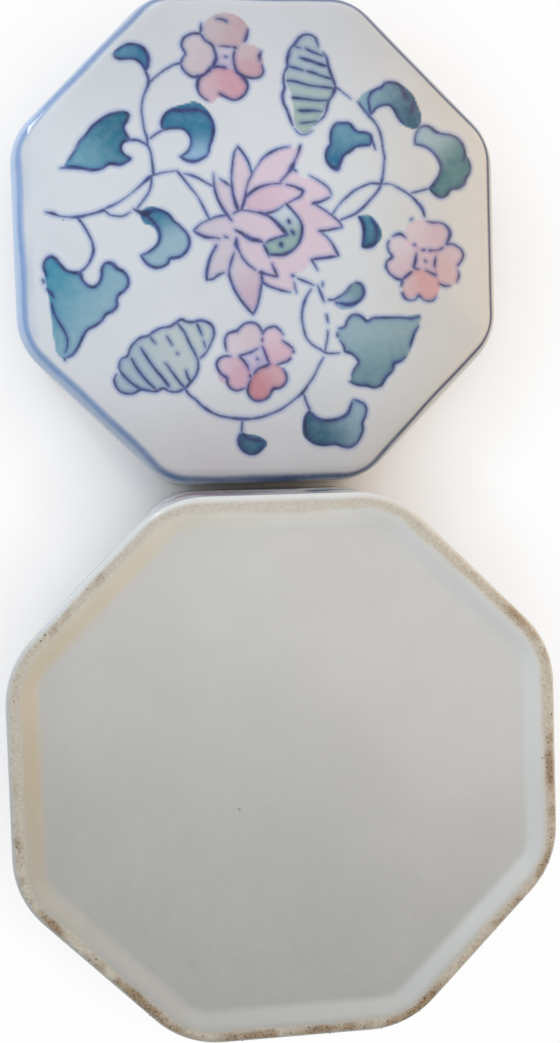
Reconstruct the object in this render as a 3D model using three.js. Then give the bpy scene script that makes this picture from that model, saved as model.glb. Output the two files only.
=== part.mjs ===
// Octagonal porcelain box in two loose pieces, in millimetres, +Z up. The lid lies face up on its rim. The base
// is turned over beside it: it stands on its flange, with its foot ring upwards. Both are slip-cast shells,
// lofted along a wall profile from sections that are octagons with rounded corners.

import * as THREE from "three";

// Closed box
const ACROSS_FLATS = 76; // over both rims, which are flush when the lid is on
const CORNER_RADIUS = 10.5; // of the eight upright edges, at the rims
const CAST_WALL = 3.4; // thickness of the base's wall and floor, and of the lid's top
const EDGE_ROUND = 0.6; // on the rims and on the flange

// Flange of the base, and the lid's socket that drops over it
const LID_RIM = 3.2; // thickness of the lid's wall at its rim
const FIT_GAP = 0.4; // between flange and socket, all round
const FLANGE_WALL = 2.4;
const FLANGE_HEIGHT = 4;

// Base, from its foot up to the seat of the lid
const BASE_HEIGHT = 38;
const BASE_DRAFT = 0.8; // lean of the wall from the rim in to the foot, on each side
const FOOT_CORNER_RADIUS = 13; // of the upright edges, at the foot
const FOOT_ROUND = 1; // between the wall and the crest of the foot ring
const FOOT_CREST = 0.9; // flat width that the box stands on
const FOOT_SLOPE = 3.1; // run of the foot ring's soft inner side
const FOOT_DEPTH = 0.8; // from the crest to the edge of the underside
const UNDERSIDE_RISE = 0.5; // hollow of the underside, at its middle
const UNDERSIDE_CORNER_RADIUS = 3; // of the underside's edge, whose corners are crisper than the wall's
const FLOOR_FILLET = 6; // between the wall and the floor, inside

// Lid, from its rim up
const LID_HEIGHT = 16; // to the outer edge of the top
const LID_CROWN = 1.8; // rise of the top from its edge to its middle
const LID_DRAFT = 0.4; // lean of the side from the rim in to the shoulder
const SHOULDER_ROUND = 2.6;
const TOP_CORNER_RADIUS = 5; // of the top's edge, whose corners are crisper than the side's
const CEILING_FILLET = 5; // between the side and the ceiling, inside

// Where the two pieces lie
const PLACE_GAP = 0.6; // between their rims

// Facets
const SIDES = 8;
const CORNER_STEPS = 5;
const ROUND_STEPS = 4;
const CROWN_STEPS = 5;

// Half widths across the flats that follow from these
const RIM = ACROSS_FLATS / 2;
const SOCKET = RIM - LID_RIM;
const FLANGE_OUTSIDE = SOCKET - FIT_GAP;
const FLANGE_INSIDE = FLANGE_OUTSIDE - FLANGE_WALL;

const glaze = { roughness: 0.12, metalness: 0 };
const lidGlaze = new THREE.MeshStandardMaterial({ color: 0xd6dae0, ...glaze });
const baseGlaze = new THREE.MeshStandardMaterial({ color: 0xc6c5c0, ...glaze });

// A profile is a list of stations. Each is one section: half its width across flats, its height, and the radius
// of its corners.
const station = (flat, z, corner) => ({ flat, z, corner });

// Stations along a curve drawn in the plane of half width and height
function along(curve, steps, cornerAt) {
  return curve.getPoints(steps).map((p) => station(p.x, p.y, cornerAt(p.x, p.y)));
}

// Stations round an edge or a fillet, between two directions in degrees from straight outwards
function round(flat, z, radius, from, to, cornerAt) {
  const [start, end] = [from, to].map(THREE.MathUtils.degToRad);
  const arc = new THREE.EllipseCurve(flat, z, radius, radius, start, end, end < start);
  return along(arc, ROUND_STEPS, cornerAt);
}

// Stations over a crowned face, from its middle out to its edge
function crown(edge, heightAt, corner) {
  const steps = Array.from({ length: CROWN_STEPS + 1 }, (_, step) => step / CROWN_STEPS);
  return steps.map((share) => station(edge * share, heightAt(edge * share), corner * share));
}

// Outline of one section: eight arcs, joined by the straight sides between them
function outline({ flat, corner }) {
  const half = Math.PI / SIDES;
  const reach = (flat - corner) / Math.cos(half);
  const points = [];
  for (let side = 0; side < SIDES; side += 1) {
    const aim = (2 * side + 1) * half;
    const [x, y] = [reach * Math.cos(aim), reach * Math.sin(aim)];
    const arc = new THREE.EllipseCurve(x, y, corner, corner, aim - half, aim + half);
    points.push(...arc.getPoints(CORNER_STEPS));
  }
  return points;
}

// Closed skin through the stations of a profile that starts and ends on the axis, going down its outer face
function loft(stations) {
  const rings = stations.slice(1, -1);
  const count = SIDES * (CORNER_STEPS + 1);
  const positions = [0, 0, stations[0].z];
  rings.forEach((ring) => outline(ring).forEach((p) => positions.push(p.x, p.y, ring.z)));
  positions.push(0, 0, stations.at(-1).z);

  const first = 0;
  const last = rings.length * count + 1;
  const at = (ring, point) => 1 + ring * count + (point % count);
  const faces = [];
  for (let point = 0; point < count; point += 1) {
    faces.push(first, at(0, point), at(0, point + 1));
    for (let ring = 0; ring + 1 < rings.length; ring += 1) {
      const [a, b] = [at(ring, point), at(ring, point + 1)];
      const [c, d] = [at(ring + 1, point + 1), at(ring + 1, point)];
      faces.push(a, d, c, a, c, b);
    }
    faces.push(last, at(rings.length - 1, point + 1), at(rings.length - 1, point));
  }

  const geometry = new THREE.BufferGeometry();
  geometry.setAttribute("position", new THREE.Float32BufferAttribute(positions, 3));
  geometry.setIndex(faces);
  geometry.computeVertexNormals();
  return geometry;
}

// Corners that keep an even gap to the rim's outline, as on the flange and in the socket
const evenCorner = (flat) => CORNER_RADIUS - (RIM - flat);

// Lid: crowned top, soft shoulder, leaning side, flat rim, straight socket and a ceiling that follows the top
function lidGeometry() {
  const sideAt = (z) => RIM - (LID_DRAFT * z) / LID_HEIGHT;

  const shoulderZ = LID_HEIGHT - SHOULDER_ROUND;
  const side = sideAt(shoulderZ);
  const shoulder = side - SHOULDER_ROUND;
  const lean = Math.atan2(2 * LID_CROWN, shoulder); // slope of the top where the shoulder takes over
  const edge = shoulder + SHOULDER_ROUND * Math.sin(lean);
  const edgeZ = shoulderZ + SHOULDER_ROUND * Math.cos(lean);
  const topAt = (flat) => edgeZ + LID_CROWN * (1 - (flat / edge) ** 2);
  const shoulderCorner = (flat) => {
    const share = (flat - edge) / (side - edge);
    return THREE.MathUtils.lerp(TOP_CORNER_RADIUS, evenCorner(side), share);
  };

  const fillet = SOCKET - CEILING_FILLET;
  const filletZ = topAt(fillet) - CAST_WALL - CEILING_FILLET;
  const ceilingAt = (flat) => topAt(flat) - CAST_WALL;
  const ceilingCorner = evenCorner(SOCKET) * (fillet / SOCKET);
  const socketCorner = (flat) => (evenCorner(SOCKET) * flat) / SOCKET;

  const shoulderStart = 90 - THREE.MathUtils.radToDeg(lean);
  return loft([
    ...crown(edge, topAt, TOP_CORNER_RADIUS),
    ...round(shoulder, shoulderZ, SHOULDER_ROUND, shoulderStart, 0, shoulderCorner).slice(1),
    ...round(RIM - EDGE_ROUND, EDGE_ROUND, EDGE_ROUND, 0, -90, evenCorner),
    ...round(SOCKET + EDGE_ROUND, EDGE_ROUND, EDGE_ROUND, -90, -180, evenCorner),
    ...round(fillet, filletZ, CEILING_FILLET, 0, 90, socketCorner),
    ...crown(fillet, ceilingAt, ceilingCorner).reverse().slice(1),
  ]);
}

// Base: floor, inside wall, flange, seat for the lid, leaning wall, foot ring and hollow underside
function baseGeometry() {
  const wallAt = (z) => RIM - BASE_DRAFT * (1 - z / BASE_HEIGHT);
  const wallCorner = (z) => THREE.MathUtils.lerp(FOOT_CORNER_RADIUS, CORNER_RADIUS, z / BASE_HEIGHT);
  const insideAt = (z) => wallAt(z) - CAST_WALL;
  const insideCorner = (z) => wallCorner(z) - CAST_WALL;

  const floorZ = FOOT_DEPTH + UNDERSIDE_RISE + CAST_WALL;
  const fillet = insideAt(floorZ + FLOOR_FILLET) - FLOOR_FILLET;
  const filletCorner = (flat, z) => (insideCorner(z) * flat) / insideAt(z);

  const flangeTop = BASE_HEIGHT + FLANGE_HEIGHT;
  const ledgeTop = BASE_HEIGHT - CAST_WALL; // the wall widens below the seat, inside as outside
  const ledgeFoot = ledgeTop - (insideAt(ledgeTop) - FLANGE_INSIDE);

  const foot = wallAt(FOOT_ROUND) - FOOT_ROUND;
  const crest = foot - FOOT_CREST;
  const underside = crest - FOOT_SLOPE;
  const footCorner = (flat, z) => {
    const share = (flat - underside) / (wallAt(z) - underside);
    return THREE.MathUtils.lerp(UNDERSIDE_CORNER_RADIUS, wallCorner(z), share);
  };
  const undersideAt = (flat) => FOOT_DEPTH + UNDERSIDE_RISE * (1 - (flat / underside) ** 2);
  const softStep = new THREE.CubicBezierCurve(
    new THREE.Vector2(crest, 0),
    new THREE.Vector2(crest - FOOT_SLOPE / 3, 0),
    new THREE.Vector2(underside + FOOT_SLOPE / 3, FOOT_DEPTH),
    new THREE.Vector2(underside, FOOT_DEPTH),
  );

  return loft([
    station(0, floorZ, 0),
    ...round(fillet, floorZ + FLOOR_FILLET, FLOOR_FILLET, -90, 0, filletCorner),
    station(insideAt(ledgeFoot), ledgeFoot, insideCorner(ledgeFoot)),
    station(FLANGE_INSIDE, ledgeTop, evenCorner(FLANGE_INSIDE)),
    ...round(FLANGE_INSIDE + EDGE_ROUND, flangeTop - EDGE_ROUND, EDGE_ROUND, 180, 90, evenCorner),
    ...round(FLANGE_OUTSIDE - EDGE_ROUND, flangeTop - EDGE_ROUND, EDGE_ROUND, 90, 0, evenCorner),
    station(FLANGE_OUTSIDE, BASE_HEIGHT, evenCorner(FLANGE_OUTSIDE)),
    ...round(RIM - EDGE_ROUND, BASE_HEIGHT - EDGE_ROUND, EDGE_ROUND, 90, 0, evenCorner),
    ...round(foot, FOOT_ROUND, FOOT_ROUND, 0, -90, footCorner),
    ...along(softStep, CROWN_STEPS, footCorner),
    ...crown(underside, undersideAt, footCorner(underside, 0)).reverse().slice(1),
  ]);
}

function piece(name, geometry, material) {
  const mesh = new THREE.Mesh(geometry, material);
  mesh.name = name;
  return mesh;
}

const fromMiddle = RIM + PLACE_GAP / 2;

const lid = piece("lid", lidGeometry(), lidGlaze);
lid.position.y = fromMiddle;

const base = piece("base", baseGeometry(), baseGlaze);
base.rotation.x = Math.PI;
base.position.set(0, -fromMiddle, BASE_HEIGHT + FLANGE_HEIGHT);

const porcelainBox = new THREE.Group();
porcelainBox.add(lid, base);

export default porcelainBox;
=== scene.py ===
# Octagonal porcelain trinket box, opened: the painted lid lies face up, the base is turned over beside it.
# Shapes are worked out in millimetres and written to the meshes in metres.

import math

import bpy
import numpy as np
from mathutils import Matrix, Vector
from mathutils.geometry import delaunay_2d_cdt


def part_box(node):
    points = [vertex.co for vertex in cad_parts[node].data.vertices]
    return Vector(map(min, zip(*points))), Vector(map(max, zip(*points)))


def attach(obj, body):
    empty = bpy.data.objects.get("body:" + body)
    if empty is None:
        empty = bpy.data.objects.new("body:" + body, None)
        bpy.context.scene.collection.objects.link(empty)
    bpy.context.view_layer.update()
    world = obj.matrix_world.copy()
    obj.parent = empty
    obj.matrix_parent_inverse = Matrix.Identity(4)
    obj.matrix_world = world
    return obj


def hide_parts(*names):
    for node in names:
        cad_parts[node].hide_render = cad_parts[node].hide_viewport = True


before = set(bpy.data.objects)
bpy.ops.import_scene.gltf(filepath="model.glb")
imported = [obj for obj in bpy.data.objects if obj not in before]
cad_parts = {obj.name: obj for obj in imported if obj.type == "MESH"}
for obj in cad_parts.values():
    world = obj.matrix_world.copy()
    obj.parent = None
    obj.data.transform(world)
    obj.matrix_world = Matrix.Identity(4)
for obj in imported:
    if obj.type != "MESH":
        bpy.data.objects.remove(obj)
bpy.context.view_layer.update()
mm = 0.001
lidLow, lidHigh = (np.array(corner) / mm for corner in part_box("lid"))
baseLow, baseHigh = (np.array(corner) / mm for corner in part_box("base"))
lidMiddle, baseMiddle = (lidLow + lidHigh) / 2, (baseLow + baseHigh) / 2
rim = lidHigh[0] - lidMiddle[0]  # half width over the flats where lid and base meet
random = np.random.default_rng(8)
tiny = 1e-7  # millimetres, stands in for a length that may be nothing
batch = 1000000  # distances that are worked out at a time


# Linear colour of an sRGB hex value
def linear(colour):
    parts = np.array([int(colour[i:i + 2], 16) / 255 for i in (0, 2, 4)])
    return np.where(parts <= 0.04045, parts / 12.92, ((parts + 0.055) / 1.055) ** 2.4)


def rgba(colour):
    return (*linear(colour), 1.0)


def addNode(tree, kind, inputs=None, **settings):
    node = tree.nodes.new(kind)
    for name, value in settings.items():
        setattr(node, name, value)
    for name, value in (inputs or {}).items():
        if isinstance(value, bpy.types.NodeSocket):
            tree.links.new(value, node.inputs[name])
        else:
            node.inputs[name].default_value = value
    return node


def blankMaterial(name):
    material = bpy.data.materials.new(name)
    material.use_nodes = True
    material.node_tree.nodes.clear()
    return material


def addObject(name, data):
    made = bpy.data.objects.new(name, data)
    bpy.context.scene.collection.objects.link(made)
    return made


def smoothStep(low, high, value):
    share = np.clip((value - low) / (high - low), 0, 1)
    return share * share * (3 - 2 * share)


# Camera, where the photograph was taken from. Pixels are the photograph's.
photo = {
    "pixels": (560, 1043),
    "place": (-11.97, 0.5, 190.0),
    "tilt": (-2.628, -6.398, -2.012),  # degrees about X, Y and Z
    "focal": 1111.3,  # pixels
    "axis": (35.0, 15.0),  # where the optical axis lies, pixels right of and below the middle
    "clip": (10.0, 20000.0),
}


def makeCamera():
    camera = bpy.data.cameras.new("camera")
    longSide = max(photo["pixels"])
    camera.lens = photo["focal"] / longSide * camera.sensor_width
    camera.shift_x, camera.shift_y = -photo["axis"][0] / longSide, photo["axis"][1] / longSide
    camera.clip_start, camera.clip_end = (reach * mm for reach in photo["clip"])
    tiltX, tiltY, roll = (math.radians(t) for t in photo["tilt"])
    turn = Matrix.Rotation(roll, 4, "Z") @ Matrix.Rotation(tiltX, 4, "X") @ Matrix.Rotation(tiltY, 4, "Y")
    holder = addObject("camera", camera)
    holder.matrix_world = Matrix.Translation(Vector(photo["place"]) * mm) @ turn
    bpy.context.scene.camera = holder
    return np.array(turn.to_3x3())


cameraTurn = makeCamera()
print("camera placed")


# Rounded octagons. A turn counts sides: whole at the middle of each, counter-clockwise from +X.
sides = 8
halfAngle = math.pi / sides
straightShare = 0.37  # of the way from a side's middle to the next, before the corner bends


def octagon(flat, corner, turn):
    side = np.round(turn)
    off = turn - side
    inner = flat - corner
    bend = np.sign(off) * np.clip((np.abs(off) - straightShare) / (0.5 - straightShare), 0, 1) * halfAngle
    out = inner + corner * np.cos(bend)
    along = np.clip(off / straightShare, -1, 1) * inner * math.tan(halfAngle) + corner * np.sin(bend)
    aim = side * 2 * halfAngle
    return np.stack([out * np.cos(aim) - along * np.sin(aim), out * np.sin(aim) + along * np.cos(aim)], -1)


# Half width of the octagon that a place lies on, whose corner radius is a given share of it
def flatAt(places, cornerShare):
    angle = np.arctan2(places[:, 1], places[:, 0])
    far = np.hypot(places[:, 0], places[:, 1])
    off = np.abs(angle - np.round(angle / (2 * halfAngle)) * 2 * halfAngle)
    onSide = far * np.cos(off)
    reach = (1 - cornerShare) / math.cos(halfAngle)
    side = halfAngle - off
    under = np.maximum(reach ** 2 * np.cos(side) ** 2 - reach ** 2 + cornerShare ** 2, 0)
    onCorner = far * (reach * np.cos(side) - np.sqrt(under)) / (reach ** 2 - cornerShare ** 2)
    isStraight = far * np.sin(off) <= onSide * (1 - cornerShare) * math.tan(halfAngle)
    return np.where(isStraight, onSide, onCorner)


# Values for each side, counter-clockwise from +X, at turns between them
def bySide(values, turns):
    return np.interp(turns % sides, np.arange(sides + 1), [*values, values[0]])


# A station is one section of a wall: half width over the flats, height and corner radius
def arc(flat, z, radius, start, end, steps, cornerAt):
    angles = np.radians(np.linspace(start, end, steps + 1))
    flats, heights = flat + radius * np.cos(angles), z + radius * np.sin(angles)
    return [(f, h, cornerAt(f, h)) for f, h in zip(flats, heights)]


# Stations between two others
def straight(first, last, steps):
    return [tuple(row) for row in np.linspace(first, last, steps + 1)[1:-1]]


perSide = 62  # columns of a wall's mesh on each side
columns = perSide * sides
columnTurns = np.arange(columns) / perSide


def ringPoints(stations):
    rings = [(octagon(flat, corner, columnTurns), np.full(columns, z)) for flat, z, corner in stations]
    return np.concatenate([np.column_stack(ring) for ring in rings])


def ringFaces(count, first=0):
    ring, column = np.meshgrid(np.arange(count - 1), np.arange(columns), indexing="ij")
    here, beside = first + ring * columns + column, first + ring * columns + (column + 1) % columns
    return np.stack([here, here + columns, beside + columns, beside], -1).reshape(-1, 4).tolist()


# Sheets close the walls' ends and carry the painting: size of their cells, and the gap to the edge
sheets = {
    "top": (1.2, 0.35),
    "wall": (1.7, 0.3),
    "underside": (1.2, 0.7),
    "hidden": (2.4, 1.2),
}
halvings = 3  # of a cell, where the painting is busy


# Cell middles of a grid
def paintGrid(low, high, coarse, busy=None):
    axes = [np.arange(a + coarse / 2, b, coarse) for a, b in zip(low, high)]
    cells = np.stack(np.meshgrid(*axes), -1).reshape(-1, 2)
    corners = np.array([(-1, -1), (1, -1), (1, 1), (-1, 1)]) / 4
    kept, size = [], coarse
    for left in range(halvings, 0, -1) if busy else ():
        split = busy(cells, size, left)
        kept.append(cells[~split])
        cells = (cells[split][:, None] + corners * size).reshape(-1, 2)
        size /= 2
    return np.concatenate([*kept, cells])


# Cell middles inside an octagon
def sheetCells(name, flat, corner, busy=None):
    size, gap = sheets[name]
    cells = paintGrid((-rim, -rim), (rim, rim), size, busy)
    return cells[flatAt(cells, corner / flat) < flat - gap]


# Triangles between a closed edge and the places inside it, counter-clockwise
def fillSheet(edge, inside):
    places = np.concatenate([edge, inside])
    made = delaunay_2d_cdt([Vector(p) for p in places.tolist()], [], [list(range(len(edge)))], 1, tiny)
    origin = np.array([sources[0] for sources in made[3]])
    return origin[np.array(made[2])]


# Triangles between a ring of a wall and the cells inside it, by where ring and cells start in the whole mesh
def sheetFaces(walls, ringFirst, cells, cellFirst):
    faces = fillSheet(walls[ringFirst:ringFirst + columns, :2], cells)
    return np.where(faces < columns, faces + ringFirst, faces - columns + cellFirst)


# Smooth line through points; further values, such as a brush's width, go along
def smoothLine(points, step, closed=False):
    points = np.asarray(points, float)
    if closed:
        points = np.concatenate([points[-2:], points, points[:3]])
    gaps = np.maximum(np.hypot(*np.diff(points[:, :2], axis=0).T), tiny)
    slopes = np.diff(points, axis=0) / gaps[:, None]
    before, after = gaps[:-1, None], gaps[1:, None]
    bends = (slopes[:-1] * after + slopes[1:] * before) / (before + after)
    tangents = np.concatenate([slopes[:1], bends, slopes[-1:]])
    made = []
    last = len(points) - 1
    for i in range(2, last - 2) if closed else range(last):
        count = max(1, round(gaps[i] / step))
        t = np.arange(count)[:, None] / count
        rise, fall = t * t * (3 - 2 * t), t * (1 - t)
        made.append(points[i] * (1 - rise) + points[i + 1] * rise
                    + gaps[i] * fall * ((1 - t) * tangents[i] - t * tangents[i + 1]))
    if not closed:
        made.append(points[-1:])
    return np.concatenate(made)


# Places that may lie within reach of a line, in parts that are small enough to work on
def nearParts(places, line, reach):
    low, high = line.min(0) - reach, line.max(0) + reach
    near = np.flatnonzero(((places > low) & (places < high)).all(1))
    return [part for part in np.array_split(near, 1 + len(near) * len(line) // batch) if len(part)]


# From places to the steps of a line: gap to each start, share of the step at its nearest point, and distance
def alongSteps(places, start, step):
    gap = places[:, None] - start
    share = np.clip((gap * step).sum(-1) / np.maximum((step ** 2).sum(1), tiny), 0, 1)
    away = gap - share[..., None] * step
    return gap, share, np.hypot(away[..., 0], away[..., 1])


# How deep each place lies in the brush strokes: millimetres inside their edges, below zero outside
def strokeDepth(places, strokes, reach):
    depth = np.full(len(places), -reach)
    for stroke in strokes:
        start, step = stroke[:-1], np.diff(stroke, axis=0)
        for part in nearParts(places, stroke[:, :2], reach):
            _, share, far = alongSteps(places[part], start[:, :2], step[:, :2])
            half = (start[:, 2] + share * step[:, 2]) / 2
            depth[part] = np.maximum(depth[part], (half - far).max(1))
    return depth


# How deep each place lies in a wash with a closed edge
def washDepth(places, edge, reach):
    depth = np.full(len(places), -reach)
    step = np.roll(edge, -1, 0) - edge
    for part in nearParts(places, edge, reach):
        gap, _, far = alongSteps(places[part], edge, step)
        crosses = (gap[..., 1] >= 0) != (gap[..., 1] - step[:, 1] >= 0)
        with np.errstate(divide="ignore", invalid="ignore"):
            right = gap[..., 0] < gap[..., 1] / step[:, 1] * step[:, 0]
        within = (crosses & right).sum(1) % 2 == 1
        depth[part] = np.where(within, 1, -1) * far.min(1)
    return depth


# Painting on the lid, in the photograph's pixels. A line is a brush stroke, and a third number is the brush's
# width there. A wash has an edge and runs from a pale colour to a deep one, between the places beside them.
# Over gives the colour that a wash lies on, and a whole wash hides what is under it.
lotus = {
    "lines": [
        [(237, 146, 1.6), (234, 152), (232, 163), (231, 178), (232, 190, 2.6), (234, 199, 2.6),
         (237, 208, 4.4)],
        [(237, 146, 3), (242, 152), (247, 160), (250, 168), (251.5, 173, 2.6)],
        [(252, 172, 1.2), (257, 165, 0.9), (262, 158, 1.8), (270, 152, 2.6), (279, 148), (289, 146, 1.1)],
        [(300, 145, 3.4), (297.5, 153, 1.8), (294, 161), (291.5, 167, 4), (287, 173), (279, 182, 2.4)],
        [(291, 167, 2.6), (296, 171, 1.6)],
        [(252, 173, 2), (248, 181, 1.8), (246, 188, 1.6), (244.5, 197, 2.6), (241, 209, 3.4)],
        [(244.5, 197, 3.2), (249, 193, 2.8), (256, 188, 2.6), (264, 185, 2), (273, 183.3, 1.4),
         (281, 183, 1.3)],
        [(286, 184, 2), (295, 186.5), (303, 190.5, 2.8)],
        [(303, 190.5, 2.4), (300, 195.5, 2), (293, 199.5, 1.5), (283, 205, 0.8), (277, 209, 1.4),
         (270, 212), (262, 213.5, 3)],
        [(233, 213, 1.6), (238, 210, 2), (246, 210, 1.1), (254, 211.5, 1.4), (262, 213, 2.6),
         (268, 215.5, 2.6), (275, 221, 3.2), (281, 227.5, 3.4), (286.5, 234, 4)],
        [(287, 234, 2.8), (279, 236.5, 1.8), (270, 239.5), (264, 243, 2)],
        [(235, 229.5, 2.4), (241, 232.5, 3), (246, 236, 3.4), (252, 239, 3.6), (258, 240, 3.4),
         (262, 241.5, 2.6)],
        [(286, 203.5, 3.2), (290, 208), (295, 213.5), (299, 219), (301.5, 225, 3), (301.5, 232, 3),
         (299.5, 240, 2.8), (296, 246, 2.4), (290, 251, 2.8), (283, 254, 3.2), (276, 254.5, 3),
         (269, 254, 3)],
        [(269, 256, 2.4), (266, 250, 2.8), (263, 244, 2.4)],
        [(288, 219.5, 3.6), (289, 222.5, 3.4)],
        [(291, 230.5, 3.4), (293.5, 233.5, 3.2)],
        [(280, 242.5, 4.2), (281, 245.5, 4)],
        [(193.5, 230, 2.6), (198, 225, 1.6), (204, 221, 1.2), (209, 219, 1.4), (215, 216.5, 1.6),
         (227, 214.5, 2)],
        [(193.5, 230.5), (199, 234, 3), (205, 236.5, 3.2), (212, 237, 1.8), (219, 238, 0.9)],
        [(224, 236, 2), (227, 237, 1.6)],
        [(177, 171, 2.6), (182, 177), (190, 187, 1.8), (197, 196, 1.1), (202, 205, 1.8), (209, 219, 2)],
        [(183, 173, 1), (193, 175.5), (201, 179.5, 1.9), (208, 183.5), (214, 186, 2.4)],
        [(213, 173, 1.2), (213.5, 184), (215, 192, 2.4), (218, 200, 2.4), (222, 207.5, 2.8), (231, 220)],
        [(219, 178, 1.2), (225, 182), (231, 186.5, 1.8)],
        [(216, 245), (212, 252), (209, 259, 2.8), (207, 267, 2.4), (206, 274, 3), (206.5, 279, 4)],
        [(206.5, 279.5, 2.8), (213, 278, 2), (218, 274.5, 2), (224, 272, 1)],
        [(234, 252, 1), (231, 260, 2), (229, 268)],
        [(228.5, 268, 1.6), (229, 275), (231, 282, 2.4), (235, 291, 2.6), (240, 299, 2.4),
         (252.5, 314, 2.4)],
        [(252.5, 314, 2.6), (256, 307), (258.5, 299), (260, 290, 2), (261.5, 282)],
        [(236, 238, 2.4), (236, 245, 3.8), (238.5, 250, 2), (242, 257, 1.8), (247, 263, 1.6),
         (255, 269.5, 1.2)],
        [(260, 272, 4.6), (265, 273.5, 2.4), (276, 276)],
        [(277, 276, 2.4), (274, 269, 2.6), (271.5, 263, 1.4)],
        [(261, 274, 2.6), (262, 281, 3.2)],
        [(261.5, 281, 3.2), (267, 285, 2.4), (275, 288, 2), (283, 290.5, 2), (290, 291.8, 1)],
        [(294, 282, 1), (295, 288, 1.6), (296, 292, 2)],
        [(309, 175, 0.8), (318, 180, 1.4), (324, 184, 1.7), (329, 189, 1.6), (331, 194, 1.2)],
        [(330, 196.5, 2), (325, 199), (319, 201.5, 2.4), (312.5, 203, 3.6)],
        [(313.5, 203, 1.8), (320, 207, 1.6), (327, 211.5, 1.8), (334, 217, 2), (340, 223, 1.8),
         (341.5, 226.5)],
        [(341.5, 227, 1.8), (333, 228.5, 2), (326, 230, 2), (319, 230.5, 3.4)],
        [(320, 231, 1.8), (326, 236, 1.4), (331, 242, 1.6), (335, 249), (338, 255, 3)],
        [(337.5, 255.5), (330, 256.5, 2.6), (322, 257.5, 2.6), (311, 259, 2.4)],
        [(311, 259, 2.8), (314, 264, 2), (317, 269.5, 1.2)],
    ],
    "washes": [
        {"edge": [(195, 229), (203, 222), (215, 217), (226, 214), (222, 205), (216, 192), (215, 182),
                  (221, 181), (231, 188), (232, 166), (237, 152), (243, 158), (251, 173), (262, 159),
                  (274, 151), (289, 147), (302, 150), (299, 160), (293, 170), (300, 176), (318, 181),
                  (330, 193), (327, 199), (315, 203), (328, 212), (340, 224), (334, 229), (321, 231),
                  (331, 243), (337, 254), (325, 259), (311, 261), (304, 270), (292, 275), (295, 288),
                  (284, 291), (262, 284), (258, 302), (252, 312), (240, 298), (230, 280), (222, 273),
                  (208, 277), (208, 264), (214, 249), (208, 240), (200, 235)],
         "pale": ("cac3ce", 205, 228), "deep": ("d4c2cb", 270, 215)},
        {"edge": [(246, 197), (256, 189), (268, 185), (284, 185), (299, 190), (292, 199), (278, 208),
                  (262, 211), (248, 208)],
         "pale": ("d4c1cb", 296, 190), "deep": ("d0b8c4", 262, 200), "over": "d4c5cd"},
        {"edge": [(233, 262), (244, 262), (258, 272), (259, 290), (256, 303), (252, 309), (243, 298),
                  (233, 282)],
         "pale": ("d3c4cc", 238, 265), "deep": ("cbb2be", 254, 292), "over": "d4c5cd"},
        {"edge": [(303, 196), (312, 206), (330, 216), (316, 230), (322, 244), (306, 252), (301, 243),
                  (304, 226), (297, 212)],
         "pale": ("d5c6cd", 318, 248), "deep": ("d2bfc8", 312, 214), "over": "d4c5cd"},
        {"edge": [(286, 204), (292, 210), (298, 217), (301.5, 226), (300.5, 235), (297, 245), (288, 252),
                  (278, 254.5), (269, 254.5), (264, 245), (270, 240), (279, 237), (286.5, 234.5),
                  (281, 227), (275, 221), (271, 215)],
         "pale": ("c4ccd0", 279, 211), "deep": ("92aba4", 286, 240), "whole": True},
    ],
}
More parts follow.
